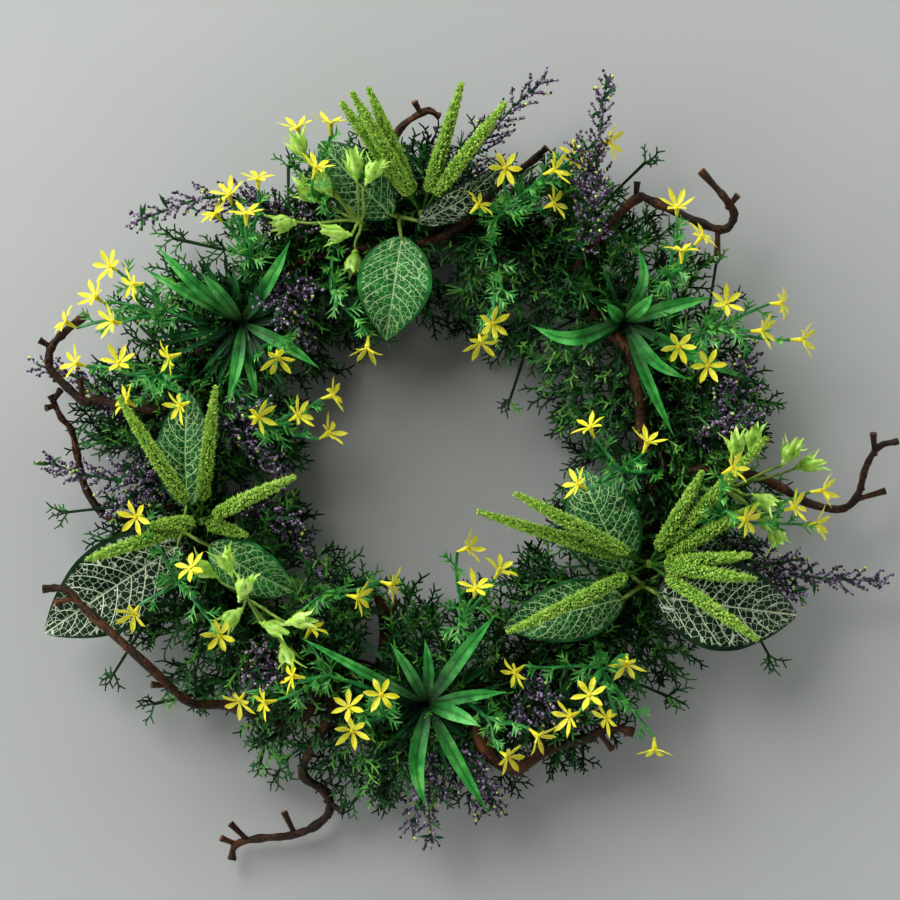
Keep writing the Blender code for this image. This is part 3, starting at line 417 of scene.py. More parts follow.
# after the colours: roughness and streak
# dipped twig bark: dark brown with a thin lacquer that shines on the ridges
twigBark = bark("lacqueredTwigBark", ["#120701", "#2E1706", "#6C4320"], 0.28, 2.4)
twigRust = bark("lacqueredTwigBarkRust", ["#180A02", "#371C09", "#6E4420"], 0.32, 2.6)
# sawn ends and dried vine are bare wood: matt, with no lacquer
twigCut = bark("cutTwigEnd", ["#2E1A10", "#533524", "#7C5840"], 0.6, 1.5)
vineBark = bark("dryVineBark", ["#1E130C", "#3F2A1B", "#6A4B33"], 0.7, 2.8)

veinPairs, veinSweep = 10.0, 0.24  # side veins to a leaf, and how far they lean to the tip
midrib = 1.1  # half width in mm


def veinedLeaf(name, ground, vein, netShare, netCell):
    # printed polyester leaf: satin green with a cream midrib, curved side veins and a net between them,
    # whose cells are netCell mm across
    material, shader = newMaterial(name)
    _, blade = readMap(material, "bladeMap")  # 0 to 1 along, -1 to 1 across
    size, sizeParts = readMap(material, "sizeMap")  # the same in metres

    def calculate(*values):
        return maths(material, *values)

    outward = calculate("ABSOLUTE", (blade, "Y"))
    curved = calculate("POWER", outward, 1.35)
    phase = calculate("MULTIPLY", calculate("MULTIPLY_ADD", curved, -veinSweep, (blade, "X")), veinPairs)
    toSide = calculate("ABSOLUTE", calculate("SUBTRACT", calculate("FRACT", phase), 0.5))
    sideVein = calculate("SMOOTH_MIN", calculate("MULTIPLY", toSide, 12.5), 1.0, 0.3)
    toMidrib = calculate("MULTIPLY", calculate("ABSOLUTE", (sizeParts, "Y")), 1 / (midrib * mm))
    net = addNode(material, "ShaderNodeTexVoronoi", {"Scale": 1 / (netCell * mm), "Randomness": 0.62},
                  {"Vector": size}, feature="DISTANCE_TO_EDGE")
    netLine = calculate("MINIMUM", calculate("MULTIPLY", (net, "Distance"), 12.5), 1.0)
    veins = calculate("MINIMUM", calculate("MINIMUM", sideVein, calculate("MINIMUM", toMidrib, 1.0)),
                      calculate("MULTIPLY_ADD", netLine, netShare, 1 - netShare))
    edge = calculate("SMOOTH_MAX", calculate("MULTIPLY_ADD", outward, 9.0, -7.4), 0.0, 0.2)
    offVein = calculate("MAXIMUM", veins, calculate("MINIMUM", edge, 1.0))
    patches = noise(material, 14, size, 3.0)
    green = ramp(material, patches, ground, (0.35, 0.65))
    veinShare = spread(material, offVein, 1.0, 0.0, 0.15, 0.75)
    mixed = addNode(material, "ShaderNodeMix", {7: linear(vein)}, {0: veinShare, 6: green}, data_type="RGBA")
    link(material, mixed, 2, shader, "Base Color")
    addSkin(material, shader, offVein, 0.5, 0.6, patches, (0.44, 0.58), 0.22)
    return material


leafDark = veinedLeaf("printedPolyesterLeafDark", ("#0B2313", "#16391E"), "#DAE3C6", 0.8, 4.8)
leafMid = veinedLeaf("printedPolyesterLeafMid", ("#15421F", "#22632C"), "#B2D292", 0.76, 4.2)
leafLight = veinedLeaf("printedPolyesterLeafLight", ("#1A5426", "#2E7E38"), "#BEDAA0", 0.74, 4.3)
print("materials made")


# the vine ring: three twisted strands, thinner vines wound over them, and a forked nub in the hole

vine = {"radius": 182, "height": 17, "offset": 8.6, "strand": 9.0, "turns": 4, "steps": 220,
        "runners": 16, "runner": (1.1, 2.2), "runnerSteps": 60, "hug": 18.2, "swell": 2.2}
ringBunch = newBunch()
for strand in range(3):
    path, radii = [], []
    for i in range(vine["steps"] + 1):
        along = math.tau * i / vine["steps"]
        turned = vine["turns"] * along + math.tau * strand / 3
        reach = vine["radius"] + vine["offset"] * math.cos(turned)
        lift = vine["height"] + vine["offset"] * math.sin(turned)
        path.append(at((reach * math.cos(along), reach * math.sin(along), lift)))
        radii.append(vine["strand"] * (1 + 0.06 * math.sin(along * 23 + strand * 2) * math.sin(along * 7)))
    radii[-1] = radii[0]
    addTo(ringBunch, *sweep([path], [radii], 14, 0.05, 5))
for _ in range(vine["runners"]):
    start, span = draw.uniform(0, math.tau), draw.uniform(1.0, 2.2)
    turns, phase = draw.choice((-7, -5, 6, 8)), draw.uniform(0, math.tau)
    width = draw.uniform(*vine["runner"])
    path = []
    for i in range(vine["runnerSteps"]):
        along = start + span * i / (vine["runnerSteps"] - 1)
        turned = turns * along + phase
        hug = vine["hug"] + vine["swell"] * math.sin(along * 9 + phase)
        reach = vine["radius"] + hug * math.cos(turned)
        path.append(at((reach * math.cos(along), reach * math.sin(along),
                        max(width + 0.3, vine["height"] + hug * math.sin(turned)))))
    addTube(ringBunch, path, width, width * 0.6, 7, 0, 0.08)
ringNubs = [([(-38, -165, 20), (-34, -135, 25), (-36, -116, 30), (-40, -102, 33)], 6, (6, 3.8), 10),
            ([(-35, -124, 28), (-29, -114, 31), (-25, -106, 33)], 5, (2.6, 1.9), 8)]
for stops, steps, ends, sides in ringNubs:
    addTube(ringBunch, smoothRoute([at(p) for p in stops], steps), *ends, sides, 1, 0.1)
makePiece("vineRing", ringBunch, [vineBark, twigBark], ["vine_ring"])
print("vine ring made")


# crooked twigs: route and end radii in mm, then the cut nubs

branches = {
    "top": ([(-34, 187, 0), (-31, 205, 48), (-26, 245, 44), (-4, 263, 40), (7, 260, 36)],
        (4.5, 2.6), [((-7, 261, 41), (-12, 270, 46))]),
    "top_right": ([(-106, 142, 44), (-98, 150, 43), (-49, 160, 42.5), (-8, 163, 43), (26, 178, 43),
        (52, 206, 40), (84, 232, 36)],
        (4.2, 3.0), [((-20, 163, 43), (-18, 150, 50)), ((80, 229, 37), (88, 236, 41))]),
    "upper_right": ([(112, 146, 0), (130, 171, 44), (155, 197, 42), (170, 194, 42), (203, 179, 44),
        (222, 174, 46), (229, 185, 48), (222, 197, 50), (203, 217, 54)],
        (4.4, 3.2), [((155, 196, 42), (156, 210, 44)), ((224, 190, 49), (231, 199, 54)),
        ((217, 175, 45), (217, 154, 42))]),
    "right_inner": ([(122, 112, 43.5), (128, 101, 44), (149, 83, 45), (156, 56, 44), (160, 19, 43),
        (161, 8, 43)],
        (6.0, 4.4), [((150, 80, 45), (160, 74, 52))]),
    "right": ([(189, -6, 0), (204, -8, 46), (243, -12, 44), (263, -20, 42), (284, -32, 40), (310, -37, 38),
        (323, -27, 40), (329, -5, 44), (338, 10, 46), (353, 14, 44)],
        (4.8, 2.6), [((321, -30, 39), (344, -23, 42)), ((335, 5, 45), (333, 20, 52))]),
    "bottom_right": ([(34, -184, 0), (38, -212, 52), (62, -233, 44), (90, -218, 38), (119, -210, 38),
        (136, -202, 38), (154, -206, 38)],
        (6.5, 3.4), [((128, -206, 38), (138, -219, 36))]),
    "bottom_left": ([(-72, -176, 0), (-78, -198, 40), (-97, -236, 26), (-80, -253, 20), (-77, -268, 16),
        (-88, -280, 13), (-107, -287, 11), (-133, -290, 10), (-149, -295, 10), (-152, -306, 12)],
        (4.6, 3.0), [((-140, -291, 10), (-153, -278, 13)), ((-149, -294, 10), (-160, -289, 14)),
        ((-104, -286, 11), (-112, -269, 14)), ((-79, -260, 18), (-66, -268, 22))]),
    "left_low": ([(-78, -166, 0), (-92, -190, 44), (-107, -200, 42), (-129, -194, 41), (-155, -185, 42),
        (-181, -182, 53), (-211, -152, 72), (-254, -114, 70), (-272, -97, 68), (-289, -96, 66)],
        (4.6, 3.2), [((-194, -169, 61), (-208, -168, 67)), ((-265, -103, 69), (-279, -107, 74))]),
    "left_mid": ([(-186, -34, 0), (-206, -38, 42), (-242, -44, 36), (-260, -23, 34), (-267, 3, 34),
        (-272, 23, 34), (-279, 32, 36), (-287, 49, 38)],
        (4.2, 2.4), [((-283, 41, 37), (-290, 39, 42)), ((-285, 45, 38), (-279, 53, 42))]),
    "left_up": ([(-184, 34, 0), (-202, 37, 50), (-225, 39, 48), (-251, 45, 44), (-262, 45, 44),
        (-284, 65, 44), (-287, 76, 46), (-284, 87, 48), (-273, 98, 50), (-258, 109, 52)],
        (4.2, 3.4), [((-262, 45, 44), (-264, 62, 46)), ((-284, 84, 47), (-294, 90, 50))]),
}
twig = {"slim": 0.88, "wobble": (-0.13, 0.13), "nub": [2.2, 2.0, 2.4, 2.8], "scar": [1.6, 1.3, 0.7],
        "scarEvery": 3, "rusty": ("bottom_right", "right_inner")}

for name, node, bunch, (route, radii, nubs) in plants(branches, "branch_"):
    points = [at(p) for p in route]
    if route[0][2] == 0:
        root = onVine(route[0][:2], 3)
        points[:1] = [root, root + up * 12 * mm]
    lift = min((0, 0.5, 1, 2, 3, 5, 8, 12),
               key=lambda l: sum(offSurface(node, p + up * l * mm) for p in points[2:]))
    rise = up * lift * mm
    smooth = smoothRoute(points[:2] + [p + rise for p in points[2:]], 6)
    widths = [w * twig["slim"] * (1 + 0.08 * math.sin(i * 1.1) + draw.uniform(*twig["wobble"]))
              for i, w in enumerate(evenly(*radii, len(smooth)))]
    widths[-2:] = [widths[-2] * 1.12, widths[-1] * 1.18]
    addTo(bunch, *sweep([smooth], [widths], 12, 0.09, twist=0.12), (0, 0, 1))
    for base, tip in nubs:
        base, tip = at(base) + rise, at(tip) + rise
        stub = [base.lerp(tip, t) for t in (-0.1, 0.35, 0.8, 1.0)]
        addTo(bunch, *sweep([stub], [twig["nub"]], 9, 0.08), (0, 0, 1))
    for _ in range(len(smooth) // twig["scarEvery"]):  # leaf scars
        i = draw.randrange(3, len(smooth) - 3)
        outward = anyWay(-10, 70)
        knob = [smooth[i] + outward * (widths[i] * mm) * t for t in (0.6, 1.1, 1.3)]
        addStroke(bunch, knob, twig["scar"], 0, 6)
    looks = [twigRust if name in twig["rusty"] else twigBark, twigCut]
    makePiece("branch." + name, bunch, looks, [node])
print("twigs made")


# net-veined leaves: where each plant stands, then each leaf's base, tip, width, mid-leaf rise and tilt

leafPlants = {
    "top": ((-24, 183), [((-21, 168, 62), (-33, 90, 54), 56, 12, 0.0),
        ((-28, 182, 60), (-84, 240, 50), 45, 12, -0.1), ((-10, 178, 62), (53, 221, 58), 30, 8, 0.75)]),
    "left": ((-186, -54), [((-186, -62, 60), (-291, -131, 44), 68, 12, 0.0),
        ((-182, -36, 60), (-182, 53, 56), 45, 10, -0.1), ((-166, -64, 62), (-100, -100, 54), 40, 10, 0.1)]),
    "right": ((160, -94), [((147, -84, 60), (110, -6, 50), 54, 12, 0.0),
        ((146, -104, 60), (55, -126, 58), 46, 12, 0.1), ((170, -102, 60), (277, -117, 46), 68, 14, 0.0),
        ((172, -86, 50), (246, -62, 38), 34, 8, 0.1)]),
}
leafLooks = {"top": (2, 1, 0), "left": (0, 1, 2), "right": (1, 1, 0, 0)}
veined = {"stations": 56, "across": 21, "thickness": 0.8, "pucker": 0.9, "groove": 0.8, "ripple": 1.2}


def veinedBlade(bunch, base, tip, width, rise, tilt, look):
    along = tip - base
    side = (Matrix.Rotation(tilt, 4, along) @ up.cross(along).normalized()).normalized()
    raised = along.cross(side).normalized()
    t = np.linspace(0.004, 0.996, veined["stations"])[:, None]
    a = np.linspace(-1, 1, veined["across"])[None, :]
    half = 0.5 * width * np.sin(np.pi * t ** 0.8) ** 0.8
    edge = np.abs(a)
    middle = np.sin(np.pi * t)  # 1 in the middle of the leaf, 0 at its ends
    phase = veinPairs * (t - veinSweep * edge ** 1.35)
    quilt = np.abs(np.sin(np.pi * (phase + 0.5))) ** 0.7 * edge ** 0.5 * (1 - edge ** 4)
    lift = rise * middle + 0.22 * half * edge * (1 - edge * 0.4)
    lift = lift + veined["pucker"] * (quilt - 0.5) * middle ** 0.5
    lift = lift - veined["groove"] * np.exp(-(a * half / 1.2) ** 2)
    lift = lift + veined["ripple"] * edge ** 3 * np.sin(t * 26 + np.sign(a) * 1.3) * middle
    along, side, raised, base = (np.array(v) for v in (along, side, raised, base))
    lower = base + t[..., None] * along + (a * half * mm)[..., None] * side + (lift * mm)[..., None] * raised
    upper = lower + raised * veined["thickness"] * mm * (1 - 0.6 * edge ** 6)[..., None]
    length = np.linalg.norm(along)
    maps = np.stack([t + 0 * a, a + 0 * t, t * length + 0 * a, a * half * mm], -1)
    addSheet(bunch, upper, lower, look, maps)
    return Vector(base + along * 0.03 + raised * (0.04 * rise + 0.4) * mm)


for name, node, bunch, (spot, leaves) in plants(leafPlants, "leaf_plant_"):
    crown = hubStem(bunch, spot, 54, past=0, first=4, last=3, look=3)
    for (base, tip, width, rise, tilt), look in zip(leaves, leafLooks[name]):
        lift = min((0, 3, -3, 6, -6, 9, 12, 15, -9, -12),
                   key=lambda l: offCorner(node, at(tip) + up * l * mm))
        shift = up * lift * mm
        end = veinedBlade(bunch, at(base) + shift, at(tip) + shift, width, rise, tilt, look)
        stalk = [crown - up * 6 * mm, crown.lerp(end, 0.5) + up * 3 * mm, end]
        addTube(bunch, smoothRoute(stalk), 1.8, 1.2, 8, 3)
    makePiece("leafPlant." + name, bunch, [leafDark, leafMid, leafLight, podStem], [node])
print("veined leaves made")


# seed spikes: where each cluster stands, then each spike's tip and rise

spikeClusters = {
    "top": ((-6, 185), [(-66, 266, 78, 18), (-58, 272, 98, 20), (-46, 277, 82, 12), (24, 280, 86, 16),
        (56, 264, 96, 16)]),
    "left": ((-172, -46), [(-230, 47, 92, 18), (-158, 55, 96, 18), (-99, -12, 88, 26), (-207, -48, 92, 22),
        (-255, -74, 84, 22), (-136, -56, 74, 10)]),
    "right": ((164, -78), [(35, -38, 76, 16), (62, -24, 98, 18), (57, -128, 82, 22), (202, -8, 92, 14),
        (249, 17, 98, 18), (245, -32, 88, 14), (238, -70, 96, 14), (241, -88, 76, 12),
        (243, -133, 90, 16)]),
}
spikes = {"radius": 5.0, "stalk": 1.7, "stations": 30, "grains": 620, "grain": 1.2, "stand": 2.4,
          "turn": 2.39996,  # radians round the spike from one grain to the next
          "stops": (0, 0.16, 0.24, 0.5, 0.8, 1), "shape": (0.26, 0.28, 0.9, 1.0, 0.72, 0.2)}


def seedSpike(bunch, crown, tip, rise):
    stops = np.linspace(0, 1, spikes["stations"])
    path = asArray(arch(crown, tip, rise, stops))
    shape = np.interp(stops, spikes["stops"], spikes["shape"]) * spikes["radius"]
    shape[:5] = spikes["stalk"]
    # the spike's body takes the bed green, painted dark as the shade between the grains
    addTo(bunch, *sweep(path[None], (shape - 0.5)[None], 12), 1)
    along, side, other = (v[0] for v in framesAlong(path[None]))
    count = int(spikes["grains"] * np.linalg.norm(path[-1] - path[0]) / (90 * mm))
    t = np.linspace(0.19, 0.995, count) ** 0.96

    def scatter(low, high):
        return np.array([draw.uniform(low, high) for _ in range(count)])

    def sample(values):
        return np.stack([np.interp(t, stops, values[:, k]) for k in range(3)], -1)

    angle = np.arange(count) * spikes["turn"] + scatter(-0.25, 0.25)
    size = scatter(0.75, 1.25)[:, None] * mm
    radius = np.interp(t, stops, shape)[:, None]
    outward = sample(side) * np.cos(angle)[:, None] + sample(other) * np.sin(angle)[:, None]
    forward = sample(along)
    seat = sample(path) + outward * (radius - 0.9) * mm
    around = np.cross(outward, forward)
    ring = []
    for k in range(5):
        turn = math.tau * k / 5
        ring.append(seat + (forward * math.cos(turn) + around * math.sin(turn)) * spikes["grain"] * size)
    stand = scatter(0.6, 1.25)[:, None]
    ring.append(seat + (outward * spikes["stand"] * stand + forward * 0.8) * size)
    start = (np.arange(count) * 6)[:, None]
    addTo(bunch, np.stack(ring, 1), [np.concatenate([start + [k, 5, (k + 1) % 5] for k in range(5)])])


for name, node, bunch, (spot, tips) in plants(spikeClusters, "spike_cluster_"):
    crown = hubStem(bunch, spot, 58, past=4, first=4, last=3, look=2)
    for x, y, z, rise in tips:
        options = [(at((x, y, z + lift)), rise + extra)
                   for extra in (0, 8, 16, 26) for lift in (0, 4, -4, 8, -8, 12, 16, 20)]

        def off(option):
            points = arch(crown, *option, (0.5, 0.8, 1))
            return sum(offCorner(node, p, radius) for p, radius in zip(points, (5.6, 4.5, 1.6)))
        seedSpike(bunch, crown, *min(options, key=off))
    makePiece("spikeCluster." + name, bunch, [spikeGrain, spikeShadedBed, podStem], [node])
print("seed spikes made")


# strap leaves: where each tuft stands, then each leaf's tip, width and rise

strapTufts = {
    "left": ((-141, 103), [(-206, 162, 60, 9, 22), (-218, 146, 52, 7, 14), (-171, 140, 84, 9, 12),
        (-104, 164, 72, 10, 20), (-152, 44, 64, 9, 20), (-129, 42, 56, 8, 14), (-82, 68, 66, 9, 20)]),
    "right": ((146, 104), [(74, 102, 64, 11, 22), (131, 116, 92, 9, 14), (153, 160, 88, 8, 18),
        (166, 124, 84, 9, 10), (213, 122, 66, 10, 22), (196, 60, 62, 9, 18), (243, 59, 56, 9, 22),
        (184, 16, 58, 8, 22)]),
    "bottom": ((-2, -184), [(50, -113, 92, 11, 20), (-2, -262, 62, 12, 20), (44, -266, 54, 10, 24),
        (38, -198, 84, 11, 12), (-97, -131, 86, 7, 34), (-30, -135, 84, 8, 14), (-4, -133, 66, 8, 14),
        (58, -173, 76, 9, 16)]),
}
strap = {"stations": 15, "thickness": 0.62, "fold": 0.42, "narrow": {"left": 44, "right": 10, "bottom": 24},
         "wavy": {(153, 160): -9, (-2, -262): -8, (74, 102): 12, (196, 60): -8}}  # mm that they swing aside


def strapBlade(bunch, start, tip, width, rise, look, stations=strap["stations"], wave=0.0):
    t = np.linspace(0, 1, stations)
    side = np.array(up.cross(tip - start).normalized())
    path = asArray(arch(start, tip, rise, t)) + side * (wave * mm * np.sin(np.pi * t ** 1.4))[:, None]
    half = 0.5 * width * (0.22 + 0.84 * np.sin(np.pi * t ** 0.9)) * np.clip((1 - t) * 5, 0.02, 1) ** 0.7
    half = half[:, None, None] * mm
    a = np.linspace(-1, 1, 5)[None, :, None]
    upright = np.array([0, 0, 1.0])
    lower = path[:, None] + side * a * half + np.abs(a) * half * strap["fold"] * upright
    upper = lower + (strap["thickness"] - 0.35 * np.abs(a)) * mm * upright
    flat = np.stack([t[:, None] + 0 * a[..., 0], a[..., 0] + 0 * t[:, None]], -1)
    addSheet(bunch, upper, lower, look, np.concatenate([flat, flat], -1))


for name, node, bunch, (spot, leaves) in plants(strapTufts, "strap_tuft_"):
    crown = hubStem(bunch, spot, 46, past=3, first=4.5, last=3.4, look=1)
    for x, y, z, width, rise in leaves:
        lift = min((0, 4, -4, 8, -8, 12, 16, 20, 26, -12), key=lambda l: offCorner(node, at((x, y, z + l))))
        wave = strap["wavy"].get((x, y)) or draw.uniform(-2.5, 2.5)
        strapBlade(bunch, crown, at((x, y, z + lift)), width, rise + lift, 0, wave=wave)
    count = strap["narrow"][name]
    for i in range(count):
        turn = 360 * (i + draw.uniform(-0.3, 0.3)) / count
        reach = heading(turn, draw.uniform(-16, 26)) * draw.uniform(42, 78) * mm
        low = crown - up * 7 * mm
        strapBlade(bunch, low, low + reach, draw.uniform(2.4, 4.6), draw.uniform(8, 24), 1, 9)
    makePiece("strapTuft." + name, bunch, [strapGreen, strapDark], [node])
print("strap leaves made")


# pods on their sprays: where each spray stands and forks, then each pod's place and heading

budSprays = {
    "top": ((-46, 176), (-52, 178, 66), [(-96, 232, 80, 110), (-107, 177, 72, 185), (-55, 216, 86, 95),
        (-43, 212, 92, 60), (-90, 199, 62, 140), (-78, 204, 80, 125), (-67, 168, 84, 175),
        (-57, 150, 64, 260)]),
    "lower_left": ((-150, -98), (-136, -104, 66), [(-166, -83, 76, 150), (-150, -78, 84, 110),
        (-138, -96, 96, 70), (-146, -116, 74, 220), (-118, -124, 80, 340), (-108, -144, 72, 290),
        (-98, -119, 92, 10)]),
    "right": ((186, -24), (222, -22, 62), [(241, 14, 70, 80), (268, 3, 66, 60), (282, -4, 58, 15),
        (248, -30, 80, 330), (250, -44, 62, 320), (258, -54, 70, 290), (228, 8, 84, 100)]),
}
podShape = [(-2, 0.9), (0, 1.2), (1.4, 2.5), (2.4, 3.0), (3.4, 2.5), (5.4, 4.0), (8, 5.5), (10.6, 5.7),
            (13, 4.7), (15, 2.8), (16.4, 1.0), (17.4, 0.3)]
claws = {"count": 6, "half": [1.3, 2.7, 3.0, 1.9, 0.25], "spread": (4.5, 10.5), "reach": (19, 26),
         "bract": ((1, 1.6), (4, 5.0), (8, 8.0), (12, 9.6), (16, 13.0))}  # a long one at the foot of the pod


def findFork(node, fork):
    options = [at(fork) + Vector((*shift, lift)) * mm
               for shift in ((0, 0), (0, -8), (0, 8), (-8, 0), (8, 0))
               for lift in (0, 5, -5, 10, -10, 15, 20)]
    return min(options, key=lambda p: offCorner(node, p + up * 3.4 * mm))


def addStem(bunch, node, start, end, first, last, sides, look):  # from the points of start to end
    route = smoothRoute([*start, *stemRoute(node, start[-1], end), end], 5)
    across = (end - start[0]).cross(up).normalized() * draw.uniform(-1.8, 1.8) * mm
    route = [p + across * math.sin(math.tau * i / (len(route) - 1)) for i, p in enumerate(route)]
    addTube(bunch, route, first, last, sides, look, 0.12)
    return route


def claw(bunch, path, outward):  # a flat pointed sepal, hollow to the inside
    path, outward = asArray(path), np.array(outward)
    side = np.cross(unit(np.gradient(path, axis=0)), outward)[:, None]
    half = np.array(claws["half"])[:, None, None] * mm
    a = np.linspace(-1, 1, 5)[None, :, None]
    lower = path[:, None] + side * a * half - outward * a ** 2 * half * 0.5
    addSheet(bunch, lower + outward * (0.6 - 0.4 * np.abs(a)) * mm, lower)


def addPod(bunch, neck, facing):
    addTurned(bunch, neck, facing, podShape, 12, 0)
    turn = facing.to_track_quat("Z", "Y")
    for k in range(claws["count"]):
        angle = math.tau * (k + draw.uniform(0.1, 0.5)) / claws["count"]
        outward = turn @ Vector((math.cos(angle), math.sin(angle), 0))
        spread, reach = draw.uniform(*claws["spread"]), draw.uniform(*claws["reach"])
        places = ((7, 4.8), (11.5, 6.6), (15.5, 5.4), (reach - 3, spread), (reach, spread + 2.4))
        if k == claws["count"] - 1:
            places = claws["bract"]
        claw(bunch, [neck + (facing * d + outward * r) * mm for d, r in places], outward)


for name, node, bunch, (spot, fork, pods) in plants(budSprays, "bud_spray_"):
    root, forkAt = onVine(spot), findFork(node, fork)
    addStem(bunch, node, [root, root + up * 8 * mm], forkAt, 1.9, 1.5, 8, 1)
    for x, y, z, azimuth in pods:
        facing = heading(azimuth, 15)
        necks = [at((x, y, z + lift)) - facing * 8 * mm for lift in (0, 4, -4, 8, -8, 12, 16, 20, 26)]
        neck = min(necks, key=lambda p: offCorner(node, p + facing * 15 * mm, 0.8))
        addStem(bunch, node, [forkAt], neck, 1.3, 0.9, 7, 1)
        addPod(bunch, neck, facing)
    makePiece("budSpray." + name, bunch, [podVinyl, podStem], [node])
print("pods made")


# star flowers: where each spray stands, then its forks, each with its heads' place, heading and angle

starSprays = {
    "top_left": ((-126, 128), [
        ((-134, 152, 66), [(-128, 209, 78, 90, 30), (-150, 198, 70, 105, 35), (-136, 182, 92, 90, 25),
            (-160, 184, 66, 130, 25)])]),
    "left_high": ((-156, 92), [
        ((-198, 112, 64), [(-238, 144, 76, 150, 55), (-250, 122, 66, 140, 35), (-220, 130, 88, 190, 30),
            (-236, 103, 80, 170, 40), (-272, 103, 66, 150, 20)])]),
    "left": ((-173, 62), [
        ((-204, 62, 68), [(-264, 72, 72, 165, 35), (-230, 72, 92, 95, 55), (-192, 76, 96, 200, 20),
            (-184, 40, 100, 205, 35), (-226, 44, 72, 150, 30)])]),
    "inner_left": ((-160, 70), [
        ((-112, 92, 62), [(-113, 76, 82, 280, 50)]),
        ((-122, 24, 62), [(-73, 48, 72, 15, 15), (-76, 20, 66, 30, 25), (-98, 33, 84, 30, 35),
            (-127, 32, 90, 0, 40)])]),
    "top": ((-72, 166), [
        ((-78, 196, 62), [(-74, 250, 78, 88, 15), (-99, 248, 66, 100, 20), (-84, 216, 94, 70, 25)]),
        ((-74, 128, 60), [(-47, 84, 66, 265, 15)])]),
    "upper": ((42, 172), [
        ((56, 186, 66), [(56, 217, 84, 270, 80), (36, 190, 76, 45, 20), (108, 226, 70, 60, 50),
            (92, 215, 86, 20, 25), (92, 191, 72, 20, 30), (134, 238, 66, 0, 25)]),
        ((54, 128, 62), [(46, 101, 80, 0, 60), (38, 88, 66, 280, 45)])]),
    "right": ((178, 66), [
        ((206, 96, 68), [(220, 116, 84, 60, 60), (262, 117, 70, 0, 25), (246, 96, 84, 0, 35),
            (278, 90, 68, 0, 20), (184, 84, 96, 270, 75), (206, 70, 88, 270, 85)]),
        ((180, 136, 66), [(184, 188, 78, 90, 40), (202, 166, 84, 50, 25), (186, 154, 96, 90, 15)])]),
    "inner_right": ((172, -8), [
        ((142, -8, 72), [(119, 24, 84, 115, 25), (161, 13, 88, 70, 20), (110, -18, 92, 150, 30)])]),
    "far_right": ((183, -46), [
        ((214, -46, 66), [(222, -6, 84, 30, 30), (233, -44, 94, 340, 45), (292, -23, 76, 5, 20),
            (270, -35, 88, 20, 35), (289, -48, 66, 0, 25)])]),
    "inner_bottom": ((16, -176), [
        ((22, -124, 66), [(28, -66, 68, 20, 25), (52, -82, 78, 60, 30), (34, -95, 90, 80, 40)]),
        ((42, -192, 68), [(80, -205, 82, 320, 30), (58, -221, 74, 330, 45)])]),
    "inner_low": ((-114, -130), [
        ((-84, -104, 64), [(-54, -102, 80, 350, 25), (-29, -93, 72, 345, 20)])]),
    "left_low": ((-174, -78), [
        ((-188, -92, 66), [(-216, -42, 102, 200, 65), (-176, -80, 96, 130, 50), (-220, -114, 76, 240, 45),
            (-156, -130, 78, 260, 75)])]),
    "bottom_left": ((-40, -176), [
        ((-74, -162, 68), [(-89, -126, 70, 60, 20), (-101, -160, 86, 170, 20), (-142, -180, 72, 240, 40),
            (-122, -180, 84, 190, 20)]),
        ((-34, -190, 64), [(-36, -174, 88, 90, 80), (-60, -184, 78, 120, 55), (-57, -200, 92, 250, 70)])]),
    "bottom_right": ((120, -136), [
        ((128, -156, 66), [(64, -158, 74, 215, 30), (146, -151, 86, 265, 45), (118, -174, 94, 100, 60),
            (104, -190, 84, 200, 35), (132, -192, 76, 200, 30), (168, -216, 66, 270, 20)])]),
}
star = {"petals": 6, "reach": 15.8, "width": 4.6, "cup": (1.5, 7.5), "funnel": 9}
throatShape = [(-9, 0.95), (-6, 1.25), (-3, 1.7), (-0.8, 2.2), (0.8, 2.1), (1.8, 1.5), (2.2, 0.7)]
dill = {"look": 3, "stalk": [0.9, 0.3], "tine": [1.05, 0.25],
        "tines": ((0.38, 0.85, 0.55), (0.68, 0.65, 0.46))}  # where, how spread, and share of the stalk


def starHead(bunch, throat, facing):
    turn = np.array(facing.to_track_quat("Z", "Y").to_matrix())
    s = np.linspace(0, 1, 8)[:, None]
    a = np.linspace(-1, 1, 5)[None, :]
    half = 0.5 * star["width"] * (0.26 + 0.74 * np.sin(np.pi * s ** 1.05) ** 0.9)
    half = half * np.clip((1 - s) * 4, 0.03, 1) ** 0.6
    across = a * half
    rings = []
    lifted = draw.uniform(*star["cup"])
    for petal in range(star["petals"]):
        angle = math.tau * petal / star["petals"] + draw.uniform(-0.13, 0.13)
        reach = star["reach"] * draw.uniform(0.9, 1.03) * (1 - 0.008 * lifted)
        cup = lifted + draw.uniform(-1.6, 2.0)
        curl = draw.uniform(-3.6, 2.0)
        radial = 1.3 + (reach - 1.3) * s - 0.4 * abs(curl) * s ** 3
        height = 0.6 + cup * s ** 1.3 + curl * s ** 3 + 0.35 * np.abs(a) * half
        twist = draw.uniform(-0.25, 0.25) * s
        flat = np.stack([radial + 0 * a, across * np.cos(twist), height + across * np.sin(twist)], -1)
        thin = np.array([0, 0, 1]) * (0.42 - 0.25 * np.abs(a) + 0 * s)[..., None]
        ring = np.concatenate([flat + thin, flat[:, -2:0:-1]], 1)
        c, d = math.cos(angle), math.sin(angle)
        rings.append(ring @ np.array([[c, -d, 0], [d, c, 0], [0, 0, 1]]).T)
    addTo(bunch, *loft(np.array(rings) * mm @ turn.T + np.array(throat)))
    addTurned(bunch, throat, facing, throatShape[:4], 9, 0)
    addTurned(bunch, throat, facing, throatShape[3:], 9, 1)


